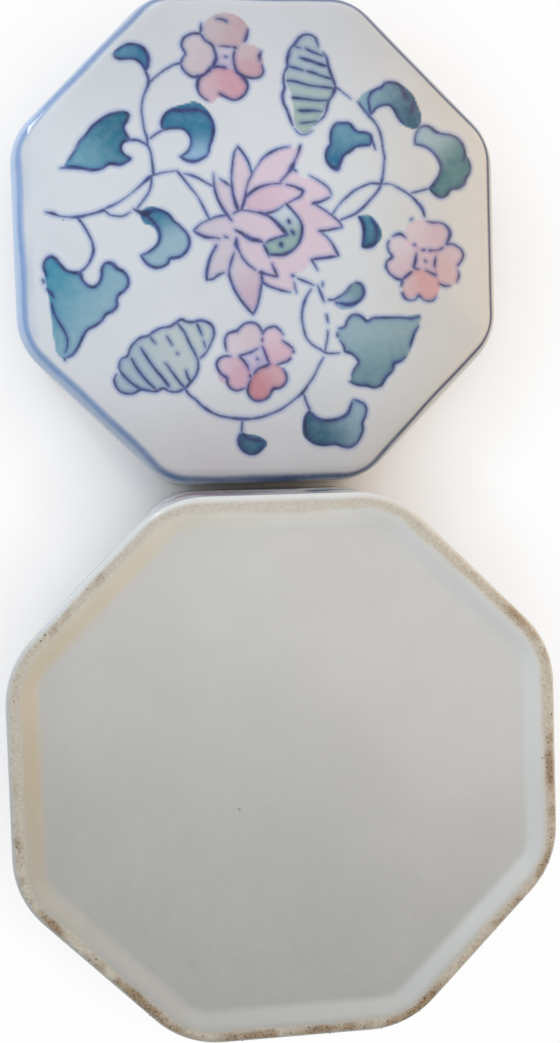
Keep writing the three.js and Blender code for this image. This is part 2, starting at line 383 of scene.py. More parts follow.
flowerTop = {
    "lines": [
        [(180, 62.5, 3.2), (183.4, 55.5, 1.8), (184.4, 54, 2), (181, 45, 2.6), (182.8, 38, 2.6),
         (188.7, 34, 2.6), (195, 32.7, 2.4), (200, 33.3, 3)],
        [(200.6, 23, 2), (200, 32, 3.4)],
        [(200, 33, 2.6), (205, 40, 2), (211.4, 44.4), (214.3, 51), (215.5, 58, 3), (212, 66, 4.4)],
        [(180, 63, 2.6), (183, 69.5, 2.4), (187.5, 74, 2.4), (193.3, 76.5, 2.6), (199.5, 75.5, 3.8)],
        [(211, 67, 3.8), (205, 73, 2.6), (199, 77, 3.4), (197, 82, 3), (197, 88, 2.6), (199, 93.5, 2),
         (207, 100, 1.2)],
        [(219, 93, 2.4), (225, 96.3, 2.4), (233, 99.6, 2.4), (240, 97.5, 2.4), (244.7, 93, 2.4),
         (247.3, 86, 2.8), (246, 81, 3.6), (242, 76, 3.4), (236.5, 71, 2.8)],
        [(210, 67, 4.4), (217, 66, 2.8), (225, 67, 3.6)],
        [(234, 50, 2), (233, 57, 2), (234, 65), (236.5, 71, 3.2), (242, 75, 2.6), (247, 77, 2.6),
         (254, 77.7, 2.4), (260, 76), (263, 71), (261.6, 65, 1.2)],
        [(232, 47, 2), (235.5, 47.5, 3.6)],
        [(261, 51, 1.4), (259, 55, 2.8), (259.3, 60, 2)],
        [(247.6, 29, 1.6), (246.4, 34.5, 2.6), (244.5, 40.5, 3.4)],
        [(216, 18, 1.6), (222, 19, 2), (226, 21, 3.2)],
        [(220, 45.5, 1), (230, 46.5, 1.2)],
        [(224.5, 56), (226, 56.5, 2)],
    ],
    "washes": [
        {"edge": [(181, 62), (184.5, 54.5), (181, 45), (183, 38), (190, 33.5), (200, 33), (206, 40),
                  (212, 45), (215.5, 56), (212, 66), (200, 75.5), (190, 75), (183, 69)],
         "pale": ("cec6cc", 187, 45), "deep": ("cbbfc5", 205, 62)},
        {"edge": [(202, 30), (206, 20), (216, 13), (230, 13), (241, 18), (248, 29), (246, 40), (237, 46),
                  (225, 47), (212, 45), (206, 39)],
         "pale": ("c5b8bd", 212, 26), "deep": ("c1a8ac", 236, 34)},
        {"edge": [(211, 67), (224, 67), (236, 71), (244, 77.5), (247.5, 86), (244, 94), (234, 99.5),
                  (225, 97), (218, 97), (212, 102), (204, 100), (198, 93), (197, 85), (199, 77)],
         "pale": ("caafb9", 205, 85), "deep": ("c99ca8", 230, 82)},
        {"edge": [(234, 50), (238, 45), (250, 44), (260, 49), (262, 58), (263, 68), (261, 75),
                  (254, 77.5), (244, 76), (236.5, 71), (233.5, 60)],
         "pale": ("c7b4b9", 246, 48), "deep": ("c3a0a7", 248, 68)},
        {"edge": [(214, 46), (224, 47), (234, 49), (234, 60), (236, 70), (225, 67), (212, 66),
                  (215.5, 56)],
         "pale": ("c9c2cd", 224, 48), "deep": ("c3b8c6", 224, 64)},
    ],
}
flowerRight = {
    "lines": [
        [(427, 221, 1.2), (432, 222, 1.8), (438, 222, 1.3), (443, 223.5, 1.6), (447.5, 227.5, 2.6),
         (449.5, 233, 3.4), (448, 239, 3), (446, 244, 3.6)],
        [(422, 249.5, 3), (425, 249.5, 1.2)],
        [(429, 250, 3.2), (432, 250, 1.2), (438, 249.5, 1.2), (442.5, 247, 2)],
        [(413.5, 244, 2.4), (415, 244.5, 1.8)],
        [(410, 219.5, 1.4), (412, 218, 1.4)],
        [(392, 236, 1.2), (396, 234, 2.6), (400, 233.5, 3), (405, 237, 1.4)],
        [(388.5, 240, 1.8), (387, 245, 1.8), (388.5, 251, 2), (391.5, 256, 3.2), (386.5, 261, 2),
         (385.5, 266, 2.6), (387.5, 271), (392, 275.5), (397, 278.5, 2.6), (402, 279.5, 3.6)],
        [(402, 279, 3.4), (400.5, 286, 2)],
        [(402, 279, 2.4), (406.5, 275), (411, 271.5, 2.4)],
        [(416, 253, 1.2), (415, 260, 2.4), (414, 267.5), (418, 268.5, 1.4)],
        [(446.5, 243.5, 2.8), (452, 243.5, 2), (457, 246, 2), (461, 249.5, 2), (462.8, 255),
         (461, 260, 2.4), (457.5, 265, 3.4)],
        [(458, 270, 1), (458.5, 275, 2), (456.5, 281.5, 1.2)],
        [(439, 283, 1.4), (444, 285.5), (449.5, 285.5, 1.4)],
        [(435.2, 257, 1.4), (434.3, 262, 2.4), (434, 266, 1.8)],
        [(425, 269.5, 1.2), (430, 272, 1.8), (435, 274.5, 3.2)],
        [(401.5, 292.5, 2.6), (405, 298), (410, 299.8, 1.4), (415, 298.5, 1.6), (418.5, 295.5, 3.6),
         (422, 298.5, 1.8), (427, 300.5, 1.8), (433, 299.5, 1.5), (436, 296, 0.9)],
        [(424.5, 260, 1.8), (425.5, 261.5, 1.6)],
    ],
    "washes": [
        {"edge": [(405, 229), (410, 222), (424, 219), (436, 221.5), (446, 226), (449.5, 234), (447, 242),
                  (438, 249), (424, 249.5), (414, 247), (405, 241)],
         "pale": ("cfbcbe", 412, 230), "deep": ("c8aeb2", 438, 236)},
        {"edge": [(389, 240), (395, 235), (402, 234), (408, 240), (415, 252), (414.5, 262), (412, 271),
                  (402, 279), (393, 276), (386.5, 268), (387, 261), (391, 256), (388, 248)],
         "pale": ("cfc2c5", 392, 243), "deep": ("cab2b5", 404, 268)},
        {"edge": [(446, 244), (455, 244.5), (462, 251), (462, 259), (458, 265), (459, 274), (456, 282),
                  (449, 286), (440, 283), (435, 274), (435, 258), (438, 250)],
         "pale": ("c6b0b1", 456, 252), "deep": ("c8a9a9", 446, 272)},
        {"edge": [(402, 290), (404, 278), (414, 269), (424, 269.5), (435, 275), (440, 284), (438, 292),
                  (431, 299), (426, 299.5), (418.5, 294.5), (410, 298), (404, 296)],
         "pale": ("caacac", 407, 288), "deep": ("ca9d9b", 424, 286)},
        {"edge": [(414, 246), (424, 250), (438, 249), (435, 258), (435, 274), (425, 269), (414, 268),
                  (415, 256)],
         "pale": ("cbb1b5", 418, 254), "deep": ("c8abaf", 430, 264)},
    ],
}
flowerLow = {
    "lines": [
        [(226, 351, 1.2), (224.5, 343, 2), (225, 337), (228, 333, 2.4), (232, 331.3), (236, 330.5, 2.8),
         (240, 326.5, 2), (245, 322.8, 1.8), (250, 322, 2), (255, 323, 2), (259, 326.5), (262, 331, 3)],
        [(239, 355.5, 2.6), (245, 353.5, 2), (251, 351.5, 2), (257, 348, 1.2)],
        [(262, 333, 2.6), (265, 329, 2), (269, 326.8, 2), (274, 326, 2), (279, 329), (283, 334, 1.2)],
        [(282.5, 340.5, 1.6), (288, 344), (292.5, 348)],
        [(293, 350), (293, 352, 1.8)],
        [(277, 364, 1.6), (282, 362.5, 2), (286.5, 361, 2.4), (290, 358, 3.2)],
        [(262, 338.5, 2), (261.5, 341, 1.4)],
        [(261.5, 345.5, 1.8), (264, 351, 1.8), (267, 359, 2), (269, 362.5, 2.8)],
        [(230, 355.5, 1.6), (223, 356, 2), (218.5, 358.5), (216, 364), (217.5, 369), (221.5, 374),
         (226.5, 378, 2.8), (227, 383), (230, 387.5), (234.5, 390), (245, 388, 1.4)],
        [(239.5, 356.5, 2.8), (244, 361, 2), (247, 366), (248, 369, 1.4)],
        [(249.5, 375, 2.8), (250.5, 377, 2)],
        [(253, 374, 1.8), (256, 370, 2), (259.5, 367.5, 2), (265, 365.5), (269, 363, 3.2)],
        [(282.5, 368, 1.4), (285.5, 373, 2), (286.5, 379), (284, 384), (279, 387.5), (273, 388.5, 3),
         (271, 392), (267, 397.5, 2), (260, 400.5), (254, 400), (249.5, 396.5, 2.4), (247, 391, 2.4),
         (248, 385, 2), (250, 379, 1.4)],
        [(256.5, 358, 2.4), (257.5, 359, 2)],
    ],
    "washes": [
        {"edge": [(226, 350), (224.5, 342), (227, 334), (236, 330.5), (244, 323), (252, 322), (260, 327),
                  (263, 335), (261.5, 346), (250, 352), (238, 355.5), (230, 354.5)],
         "pale": ("d3c8cf", 232, 345), "deep": ("cfbec6", 252, 334)},
        {"edge": [(262, 334), (268, 327), (275, 326), (282, 333), (284, 341), (292, 348), (291, 357),
                  (284, 362), (274, 364), (268, 362), (264, 352), (262, 344)],
         "pale": ("d4bec7", 270, 332), "deep": ("d0afba", 278, 352)},
        {"edge": [(230, 355.5), (220, 357), (216, 364), (217, 372), (219, 380), (226, 384), (233, 390),
                  (243, 389), (248, 384), (251, 375), (247, 366), (240, 357)],
         "pale": ("d1bcc7", 222, 364), "deep": ("cda9b7", 238, 376)},
        {"edge": [(254, 373), (260, 367), (269, 363), (280, 366), (286, 374), (285, 383), (278, 388),
                  (272, 390), (266, 398), (257, 400.5), (250, 397), (247, 390), (250, 380)],
         "pale": ("c9a0a8", 278, 374), "deep": ("c18890", 258, 388)},
        {"edge": [(250, 352), (262, 347), (268, 362), (258, 368), (250, 376), (246, 364), (240, 356.5)],
         "pale": ("c9c0cf", 250, 354), "deep": ("bfb2c6", 258, 364)},
    ],
}
budTop = {
    "lines": [
        [(318, 46, 1.2), (317, 42, 1.8), (314.7, 37.4, 2), (310, 34.6, 2), (305, 34), (299, 37, 2.6),
         (294.5, 43, 3.4), (289.5, 49, 2.6), (288, 54, 3.6), (286.7, 60, 2.8), (287, 65, 3),
         (284, 72, 1.8), (283, 80), (284, 87, 2.6), (282, 95, 3), (283, 102, 2.6), (286.7, 110, 2.6),
         (289.6, 118.5, 2.6), (292.5, 125.5, 1.6)],
        [(294, 128, 0.9), (299.5, 133.7, 1.3), (305, 134, 1.2), (312, 130, 0.9)],
        [(314, 124, 1), (319, 120, 1.6), (324, 115, 1.8), (326, 109, 2.4), (328.7, 100, 2), (332, 95, 2),
         (335, 86.5, 4.6)],
        [(335, 86, 2.6), (333, 80, 3), (330, 72, 2.6), (327.5, 64, 2.4), (326, 57, 2), (322, 51.5, 1.4)],
        [(305, 48, 2), (313.5, 52, 2.4), (323, 55.5, 1.6)],
        [(299.5, 57, 1.8), (304, 58.5, 3), (312, 61), (320, 64, 2.6), (327, 66, 2)],
        [(287, 65.5, 2), (295, 67.5, 2.4), (303, 70, 1.6)],
        [(306, 70.5, 1.6), (312, 72, 2.6), (320, 75, 1.6), (332, 78.5, 2.8)],
        [(286, 80, 2), (292, 80.5, 2.4), (310, 85, 2), (322, 86.5), (333, 87.6, 2.8)],
        [(292, 97, 3.4), (305, 98.5, 2.4), (316, 99.8, 2), (329, 99.8)],
        [(298, 110, 2), (304, 110.3, 3.4), (312, 110, 2.6), (322, 111, 1.2)],
        [(300, 122.5, 1.8), (307, 122, 1.4), (317, 120.3, 0.9)],
        [(293, 45.5, 1), (300, 47.5, 1.1)],
        [(335, 86.5, 2.6), (341, 90.5, 1.2)],
    ],
    "washes": [
        {"edge": [(305, 36), (297, 41), (291, 50), (288, 65), (286, 80), (291, 95), (293, 112),
                  (297, 128), (304, 133), (312, 126), (321, 114), (327, 102), (333, 88), (331, 78),
                  (326, 62), (320, 50), (314, 39)],
         "pale": ("acb9bd", 304, 55), "deep": ("9cafa6", 305, 122)},
    ],
}
budLow = {
    "lines": [
        [(120, 372, 2), (118.4, 365), (121, 359), (127, 355, 2.8), (129.5, 348), (134, 342),
         (140.5, 337, 2.8), (148, 335), (153.5, 331, 2.6), (161, 327.5), (170, 325.6, 2.6),
         (175.6, 322, 2.6), (181, 319, 2.6), (186, 321, 2.6), (191, 321.7, 2.8), (200, 320, 2.6),
         (207, 321.7, 2.4), (212, 326, 2.4), (213.6, 332), (210.7, 342, 2), (205.5, 352, 2), (200, 358)],
        [(197.7, 360, 2.6), (197.7, 368), (195, 375.6), (190, 382, 2.6), (184.7, 388, 3.2)],
        [(184, 388, 2.8), (178, 391, 2.4), (170, 391, 2.4), (162.6, 388, 3), (156, 390.6, 2.6),
         (147, 390, 2.4), (140.5, 389, 3), (134, 392.5, 2.4), (126, 393, 2.4), (120, 391), (115, 384.7),
         (114, 378, 2), (116.5, 373.7, 2)],
        [(120, 371, 2), (126, 378), (134, 384.7, 2.4), (140.5, 388.6, 3.4)],
        [(131, 358, 2), (136.6, 368), (145.7, 379.5), (155, 388.6, 2.6)],
        [(140.5, 347.6, 1.8), (147, 358), (155, 369), (162.6, 378, 2.4), (168.5, 386, 3.4)],
        [(150, 336.6, 2), (155, 343, 1.4)],
        [(166.5, 336, 1.8), (171.7, 344.4, 1.6)],
        [(165, 362.6, 1.6), (171.7, 371.7), (179.5, 382), (184, 387, 2.8)],
        [(185.4, 370, 1.8), (187, 375.6), (190, 381.5, 3.2)],
        [(177, 323), (183.4, 331, 2), (188.6, 342, 2), (194, 352, 2), (197.7, 360, 2.4)],
        [(196, 322, 2), (199, 329, 2), (201.6, 335, 1.4)],
        [(203, 340.5, 1), (205, 347, 1.1)],
        [(176.5, 352.5, 2), (177.5, 353.5, 1.8)],
    ],
    "washes": [
        {"edge": [(120, 372), (119, 365), (127, 356), (131, 347), (141, 338), (154, 332), (170, 326.5),
                  (181, 320), (191, 322.5), (205, 322), (212, 329), (209, 343), (200, 357), (197, 369),
                  (189, 382), (178, 390), (163, 387.5), (148, 389.5), (134, 391.5), (121, 390),
                  (115, 381)],
         "pale": ("bac6c8", 178, 352), "deep": ("a5bac6", 132, 372)},
    ],
}
leafTop = {
    "lines": [
        [(114, 51, 1.6), (120, 47), (126, 44, 2.4), (133, 43.5, 2.6), (140.5, 46, 3.2),
         (145.7, 51.6, 3.8), (148, 59, 3.6), (147, 66, 3), (145, 70.5, 3)],
        [(145, 70.5, 2.4), (140.5, 63, 2.6), (135, 59, 2.4), (127.5, 58, 2.4), (120, 58.4), (114, 56, 2),
         (113, 53, 1.6)],
    ],
    "washes": [
        {"edge": [(113, 53), (119, 47), (126, 43.5), (134, 43), (142, 46.5), (147, 54), (148, 62),
                  (145, 70), (140, 63), (134, 59), (127, 58), (119, 58.5)],
         "pale": ("5d94ae", 118, 52), "deep": ("417d9c", 143, 58)},
    ],
}
leafLeft = {
    "lines": [
        [(60, 167.6, 1.6), (70, 166.7, 2.8), (82, 168, 3), (93.7, 169.6, 3), (101.5, 168, 2.6),
         (109, 163.4, 3.2), (120, 164, 2.8), (126, 161.5, 2.4), (130, 158, 2.6), (125.6, 155),
         (121, 150.4, 2.6), (120.4, 146, 2.6), (123.6, 141, 2.6), (128, 139.4, 3.2), (125, 132, 2.6),
         (123, 126, 2.6), (127, 119, 2.6), (128, 114, 3), (123.6, 111.4, 2.4), (116, 112, 2.4),
         (107, 114.7), (99, 120, 2.4), (91, 126.4, 2.6), (87, 132), (79, 141, 2), (73, 152, 1.8),
         (68, 159.5, 1.4)],
    ],
    "washes": [
        {"edge": [(64, 165), (72, 154), (80, 141), (90, 127), (104, 116), (117, 112), (127, 112),
                  (127, 119), (124, 127), (127, 138), (121, 146), (124, 154), (130, 158), (121, 164),
                  (109, 164), (99, 169), (84, 168.5), (71, 167)],
         "pale": ("70a4ba", 72, 160), "deep": ("33748f", 116, 122)},
    ],
}
leafInner = {
    "lines": [
        [(162, 129.6), (161, 123, 2.4), (164.6, 114, 2.8), (170.4, 110, 3.2), (179.5, 110, 3.6),
         (190, 109.5, 3.4), (200, 110, 2.8), (207, 114, 2.6), (211.4, 120.5, 3.2), (213, 129.6, 3.2),
         (211.4, 139, 2.8), (209.4, 145, 2.4), (207, 154, 2.4), (200, 159, 2.6), (192.5, 161, 3.4),
         (185, 159.5, 2.6), (179.5, 156, 2)],
        [(179.5, 156, 1.6), (186, 152, 1.6), (190, 145, 1.8), (190.6, 140, 2), (188, 133.5, 1.8),
         (183.4, 129, 1.8), (175.6, 127.7, 2), (168, 128.3), (162, 129.6)],
    ],
    "washes": [
        {"edge": [(162, 128), (161, 122), (164, 113), (170, 108), (178, 105), (186, 103), (192, 101),
                  (200, 103), (206, 108.5), (212, 118), (214.5, 130), (212, 140), (209, 148), (206, 155),
                  (199, 159.5), (192, 161), (185, 159), (180, 156), (187, 151), (190, 145), (190, 139),
                  (187, 133), (182, 128.6), (175, 127.5), (168, 128)],
         "pale": ("93b4cb", 198, 155), "deep": ("407c99", 197, 128)},
    ],
}
leafUpperRight = {
    "lines": [
        [(370, 115), (369, 107, 2), (368, 99, 1.8), (370.7, 92.4, 2), (375.5, 88.7, 2.4),
         (381, 86.5, 2.8), (385, 82.3, 2.4), (390.4, 81.7, 2.8), (398, 84, 2.6), (403, 90, 2.8),
         (405, 95.6, 2.6), (408.5, 100)],
        [(412, 102), (412, 108, 3.4), (410.5, 113, 2.6)],
        [(370.7, 113.7, 2.4), (376.5, 107), (383, 104.7), (389, 104.7), (393.6, 109.5, 2.4),
         (397, 116, 2.6), (401, 122, 2)],
    ],
    "washes": [
        {"edge": [(358, 101), (361, 94), (368, 90), (376, 88), (383, 84), (390, 81), (399, 83), (406, 88),
                  (413, 95), (417, 104), (420.5, 114), (420.5, 122), (416, 128), (408, 127.5), (401, 123),
                  (397, 116), (393, 109.5), (389, 105), (383, 104.5), (376, 108), (370, 114), (364, 109)],
         "pale": ("86a3ae", 364, 100), "deep": ("2f5d73", 412, 114)},
    ],
}
leafRightEdge = {
    "lines": [
        [(414.4, 143.6, 2.4), (414.4, 137, 2), (416.5, 131, 2), (420, 126.5), (426.7, 125.5, 2.4),
         (431, 127.6, 2.6), (435, 131, 3.6), (440.5, 133), (448, 134, 2), (454.4, 136), (459.7, 140.4),
         (463.5, 147), (464.5, 154, 2), (462.4, 160.7, 1.4)],
        [(414.4, 143.6, 2), (421, 145, 2), (429, 149), (434, 153.7, 2.4), (438, 159.6, 2.6),
         (440, 166, 2.6), (438.4, 174.5, 2.6), (434, 182, 2.6), (429, 188, 2.8)],
        [(429, 188.4, 2.4), (433, 192.7, 2.4), (440.5, 197, 2.6), (447, 193.7, 2.8), (450, 189.5, 2.6),
         (457.6, 188, 2.4), (464, 183, 2.4), (466, 176.7, 2.4), (469.3, 172.4, 2), (470, 166, 1.6),
         (467.7, 158.5, 1.2)],
    ],
    "washes": [
        {"edge": [(414.4, 143.6), (415, 136), (419, 128), (426, 125.5), (433, 129), (441, 133),
                  (449, 134.5), (456, 137), (462, 144), (466, 154), (470, 165), (469, 173), (465, 181),
                  (458, 188), (450, 190), (446, 194.5), (440, 197), (433, 193), (429, 188.5), (434, 182),
                  (438, 175), (440, 166), (438, 159), (434, 153.5), (428, 148.5), (421, 145)],
         "pale": ("97abb0", 430, 136), "deep": ("477379", 455, 166)},
    ],
}
leafMiddle = {
    "lines": [
        [(330, 143.6, 2.6), (330, 135, 2.4), (331.7, 127.6, 2.4), (336, 123), (342.4, 122.3, 2.4),
         (349, 123, 2.6), (353, 127.6, 3), (357, 131, 2.8), (365, 132, 2.6), (370, 134.5, 2.8),
         (371, 139, 2.8), (369.6, 144.7, 2.4)],
        [(369.6, 144.7, 2.4), (362.7, 145, 2.4), (356, 146, 2.4), (350, 150.5, 2.6), (343.5, 155, 2.8),
         (339.7, 163, 3), (336.5, 168.7, 3.8), (331.7, 167, 3), (326.4, 160.7, 2.8), (325.3, 153, 2.4),
         (327.5, 147, 2.4), (330, 143.6)],
        [(371.5, 138), (373, 143.6, 2.4), (375, 149, 1.4)],
    ],
    "washes": [
        {"edge": [(329, 143), (330, 134), (333, 126), (341, 122), (349, 123), (355, 129.5), (365, 132),
                  (371, 136), (370, 144), (361, 145.5), (353, 148.5), (344, 155), (340, 163),
                  (336, 168.5), (330, 166), (325, 158), (325.5, 151)],
         "pale": ("658fa0", 342, 130), "deep": ("3f6f8b", 333, 160)},
    ],
}
leafSmallRight = {
    "lines": [
        [(358, 216, 2.6), (362, 222, 3.8), (363.5, 230, 3.6), (363, 238, 3.2), (362, 246.5, 3)],
        [(362, 246.5, 3), (368, 246, 3.8), (373, 244, 3.6), (375.5, 240, 2.6)],
        [(371, 219, 2.4), (375, 225, 2.6), (376.5, 232, 2.6), (375.5, 238, 2.6)],
    ],
    "washes": [
        {"edge": [(358, 216), (364, 214.5), (369, 214.5), (375, 220.5), (380, 228), (381.5, 235),
                  (378, 242), (370, 246.8), (362, 247), (362.5, 238), (362.5, 230), (361, 222)],
         "pale": ("487c8f", 366, 225), "deep": ("3c6c7e", 377, 236)},
    ],
}
leafCurl = {
    "lines": [
        [(328, 299.5, 2.4), (334, 299, 2), (337.5, 297, 2.6), (342, 294, 2), (347, 289, 2),
         (350, 284.5, 1.4)],
        [(355.5, 281.5, 2), (361, 284, 2.8), (363.5, 290, 2.8), (362.5, 296, 2.8), (358, 300.5, 3),
         (352, 303.5, 3.4), (346, 304, 3.4), (339, 302.5, 2.8)],
        [(335, 302, 2.4), (337, 302.3, 1.6)],
    ],
    "washes": [
        {"edge": [(338, 298.5), (343, 294), (348, 288.5), (352, 282), (356, 281.5), (361, 284.5),
                  (363.5, 291), (361, 299), (356, 305), (348, 308.5), (339, 308.5), (335, 304)],
         "pale": ("94abb7", 345, 305), "deep": ("768f98", 354, 291)},
    ],
}
leafBigLeft = {
    "lines": [
        [(46, 275, 2), (43, 266, 2), (45.6, 258.6), (50, 256, 2.8), (54.7, 258, 3.6), (60, 264, 3.2),
         (66, 270, 2.8), (73, 272, 3), (79.4, 273, 3.8), (82, 279, 2.8), (87, 284.6, 2.8),
         (92.4, 286.6, 2.8), (98, 283, 2.8), (101, 275.5, 2.8), (101.5, 268, 2.6), (105.4, 262.5),
         (110.6, 262.5, 3.4), (117, 268, 3.4), (123.6, 271.6, 2.8), (127.5, 277.5, 2.8), (128, 283, 2.6),
         (124, 290, 2.6), (118.4, 294.4, 3), (116.5, 299, 2.6), (116.5, 305.4, 2.8), (112, 310.6, 2.6),
         (105.4, 314, 2.8), (101.5, 320, 2.6), (94, 325.6, 2.6), (87, 329.5, 2.6), (82.7, 336, 2.6),
         (78, 346, 2.4), (73, 353.5), (67, 357.4, 2)],
        [(42.4, 279), (43.2, 283, 2)],
        [(46, 288.5, 1.8), (50, 292, 3), (53, 297, 2.4)],
        [(51, 303, 1.8), (53.4, 312), (58, 321), (63, 329), (66.4, 337, 2), (67, 344, 1.8),
         (65, 352, 1.4)],
        [(64, 358.5), (65, 360, 2)],
    ],
    "washes": [
        {"edge": [(44, 275), (43, 266), (46, 258), (51, 256), (57, 261), (66, 270), (78, 273), (83, 281),
                  (92, 286.5), (99, 281), (102, 268), (107, 262), (115, 266), (124, 272), (128, 281),
                  (123, 291), (117, 297), (116, 306), (106, 314), (100, 321), (87, 330), (80, 344),
                  (72, 354), (64, 359), (57, 354), (54, 342), (51, 322), (49, 300), (46, 287)],
         "pale": ("8bb2c4", 108, 302), "deep": ("4b96b1", 50, 268)},
    ],
}
leafScroll = {
    "lines": [
        [(133, 208.5, 2), (139, 211.5, 3.4), (145, 213.5, 5.5), (150, 211, 4), (157, 209.5, 3),
         (165, 212, 2.6), (170, 216, 2.8), (173, 220, 2.4), (178, 224, 2), (182, 228), (186.5, 233, 2.6),
         (189, 240, 2.6), (188, 247, 2.6), (184, 253, 2.8), (180, 256, 2.8), (174, 257.5, 3.2),
         (170, 258, 2.8), (167, 263, 2.6), (161, 266.5, 2.8), (155, 267, 3.4), (149, 265, 2.8),
         (144, 260.5, 2.4), (140.5, 255, 2.4)],
        [(147, 216, 4), (151, 219.5, 3), (155.5, 224.5, 2.8), (158.5, 230, 2.8), (159.5, 237, 2.8),
         (157, 244, 3), (153, 248, 2.6), (147, 252, 2.4), (140.5, 254.7, 2.4)],
    ],
    "washes": [
        {"edge": [(140, 214), (144, 208), (152, 206), (160, 208.5), (167, 212), (173, 220), (181, 227),
                  (187, 234), (189, 241), (187, 249), (181, 255.5), (173, 258), (169, 260), (165, 265),
                  (157, 267.3), (149, 265), (143, 260), (141, 255), (148, 251.5), (154, 246), (157, 238),
                  (155.5, 230), (150, 225), (145, 224), (141, 219)],
         "pale": ("97b5c4", 172, 242), "deep": ("447f9b", 156, 213)},
    ],
}
leafTiny = {
    "lines": [
        [(242, 419, 2.4), (241.5, 425), (241.2, 431, 3.4)],
        [(239.5, 433, 2.6), (238, 439, 2.8), (239, 445, 2.8), (243, 450.5, 2.8), (249, 453.5, 2.8),
         (255, 453, 2.6), (260, 449, 2.6), (263.5, 443, 2.4)],
        [(241.5, 431.5, 2.6), (246, 436.5, 2.6), (252, 439, 2.6), (259, 440, 2.6), (263, 441.5, 2.4)],
    ],
    "washes": [
        {"edge": [(240, 433), (246, 433.5), (252, 434), (259, 436), (267, 443.5), (263, 449),
                  (257, 453.5), (249, 454), (242, 451), (238.5, 445), (238, 438)],
         "pale": ("42748a", 259, 439), "deep": ("33647c", 246, 446)},
    ],
}
leafLowRight = {
    "lines": [
        [(338, 328, 1.8), (344, 326), (347, 319.5), (351, 315, 2.4), (356, 314, 2.6), (361, 316, 2.4),
         (366.6, 320.4, 2.8), (372, 318, 2.4), (381, 317), (391, 317), (401.5, 317), (411.6, 318, 2),
         (419, 316, 1.6)],
        [(418, 326, 1.4), (414, 332), (412, 338.5), (409.7, 346, 1.6)],
        [(405, 357, 1.6), (400, 360.6, 2.4), (394, 363, 3.6), (392, 370, 2.4), (385, 377, 2.4),
         (380.6, 384.7, 2.6), (373.6, 387, 2.4), (367, 385, 2.6), (359.7, 384.7, 2.4), (353, 383),
         (349, 381, 1.8)],
        [(351, 374.6, 1.6), (354.6, 367.6), (358, 362, 2.6), (354.6, 356, 2.4), (349.5, 352.4, 2.4),
         (344.7, 351, 2.4), (343, 345.4, 2), (339.4, 340.4, 1.6)],
        [(336.5, 332.5, 2), (337, 336.5, 1.8)],
    ],
    "washes": [
        {"edge": [(338, 329), (344, 326), (348, 318.5), (356, 314), (362, 317), (368, 320), (380, 317),
                  (400, 317), (420, 315), (417, 330), (412, 342), (408, 354), (400, 361), (393, 365),
                  (390, 373), (382, 384), (373, 387.5), (360, 385), (350, 381), (352, 373), (358, 362),
                  (354, 355.5), (345, 351), (342, 344), (337, 336)],
         "pale": ("8fa5aa", 365, 325), "deep": ("6d8a92", 374, 376)},
    ],
}
leafLow = {
    "lines": [
        [(309.6, 410, 2.8), (305, 417, 2.6), (304.6, 426, 2.8), (306.5, 434.7, 2.8), (311.5, 441, 2.6),
         (319, 444, 2.6), (328, 444, 2.6), (335.6, 443.6, 2.6), (342, 446, 2.6), (348, 447, 2.6),
         (354.6, 444, 2.6), (359.7, 437, 2.6), (362.5, 428, 2.6), (362, 422.7, 2.4), (364.7, 415.7, 2.4),
         (366, 409, 2.4), (364, 403.7, 2.4), (359, 401), (353, 399, 2)],
        [(310, 411, 2.4), (315, 416.4, 2.8), (321.7, 419, 3), (332, 419.5, 3.2), (340.7, 417, 3.2),
         (347, 413, 3.2), (350, 406, 2.8), (352, 400, 2)],
    ],
    "washes": [
        {"edge": [(308, 411), (315, 416.5), (322, 419), (332, 419.5), (341, 417), (347, 413), (350, 406),
                  (354, 399.5), (361, 401.5), (366, 408), (364.5, 416), (362.5, 427), (360, 437),
                  (354, 444.5), (347, 447), (336, 444.5), (322, 445.5), (311, 442.5), (303, 435),
                  (302, 425), (304, 416)],
         "pale": ("8ea7b2", 360, 408), "deep": ("3a6579", 314, 432)},
    ],
}
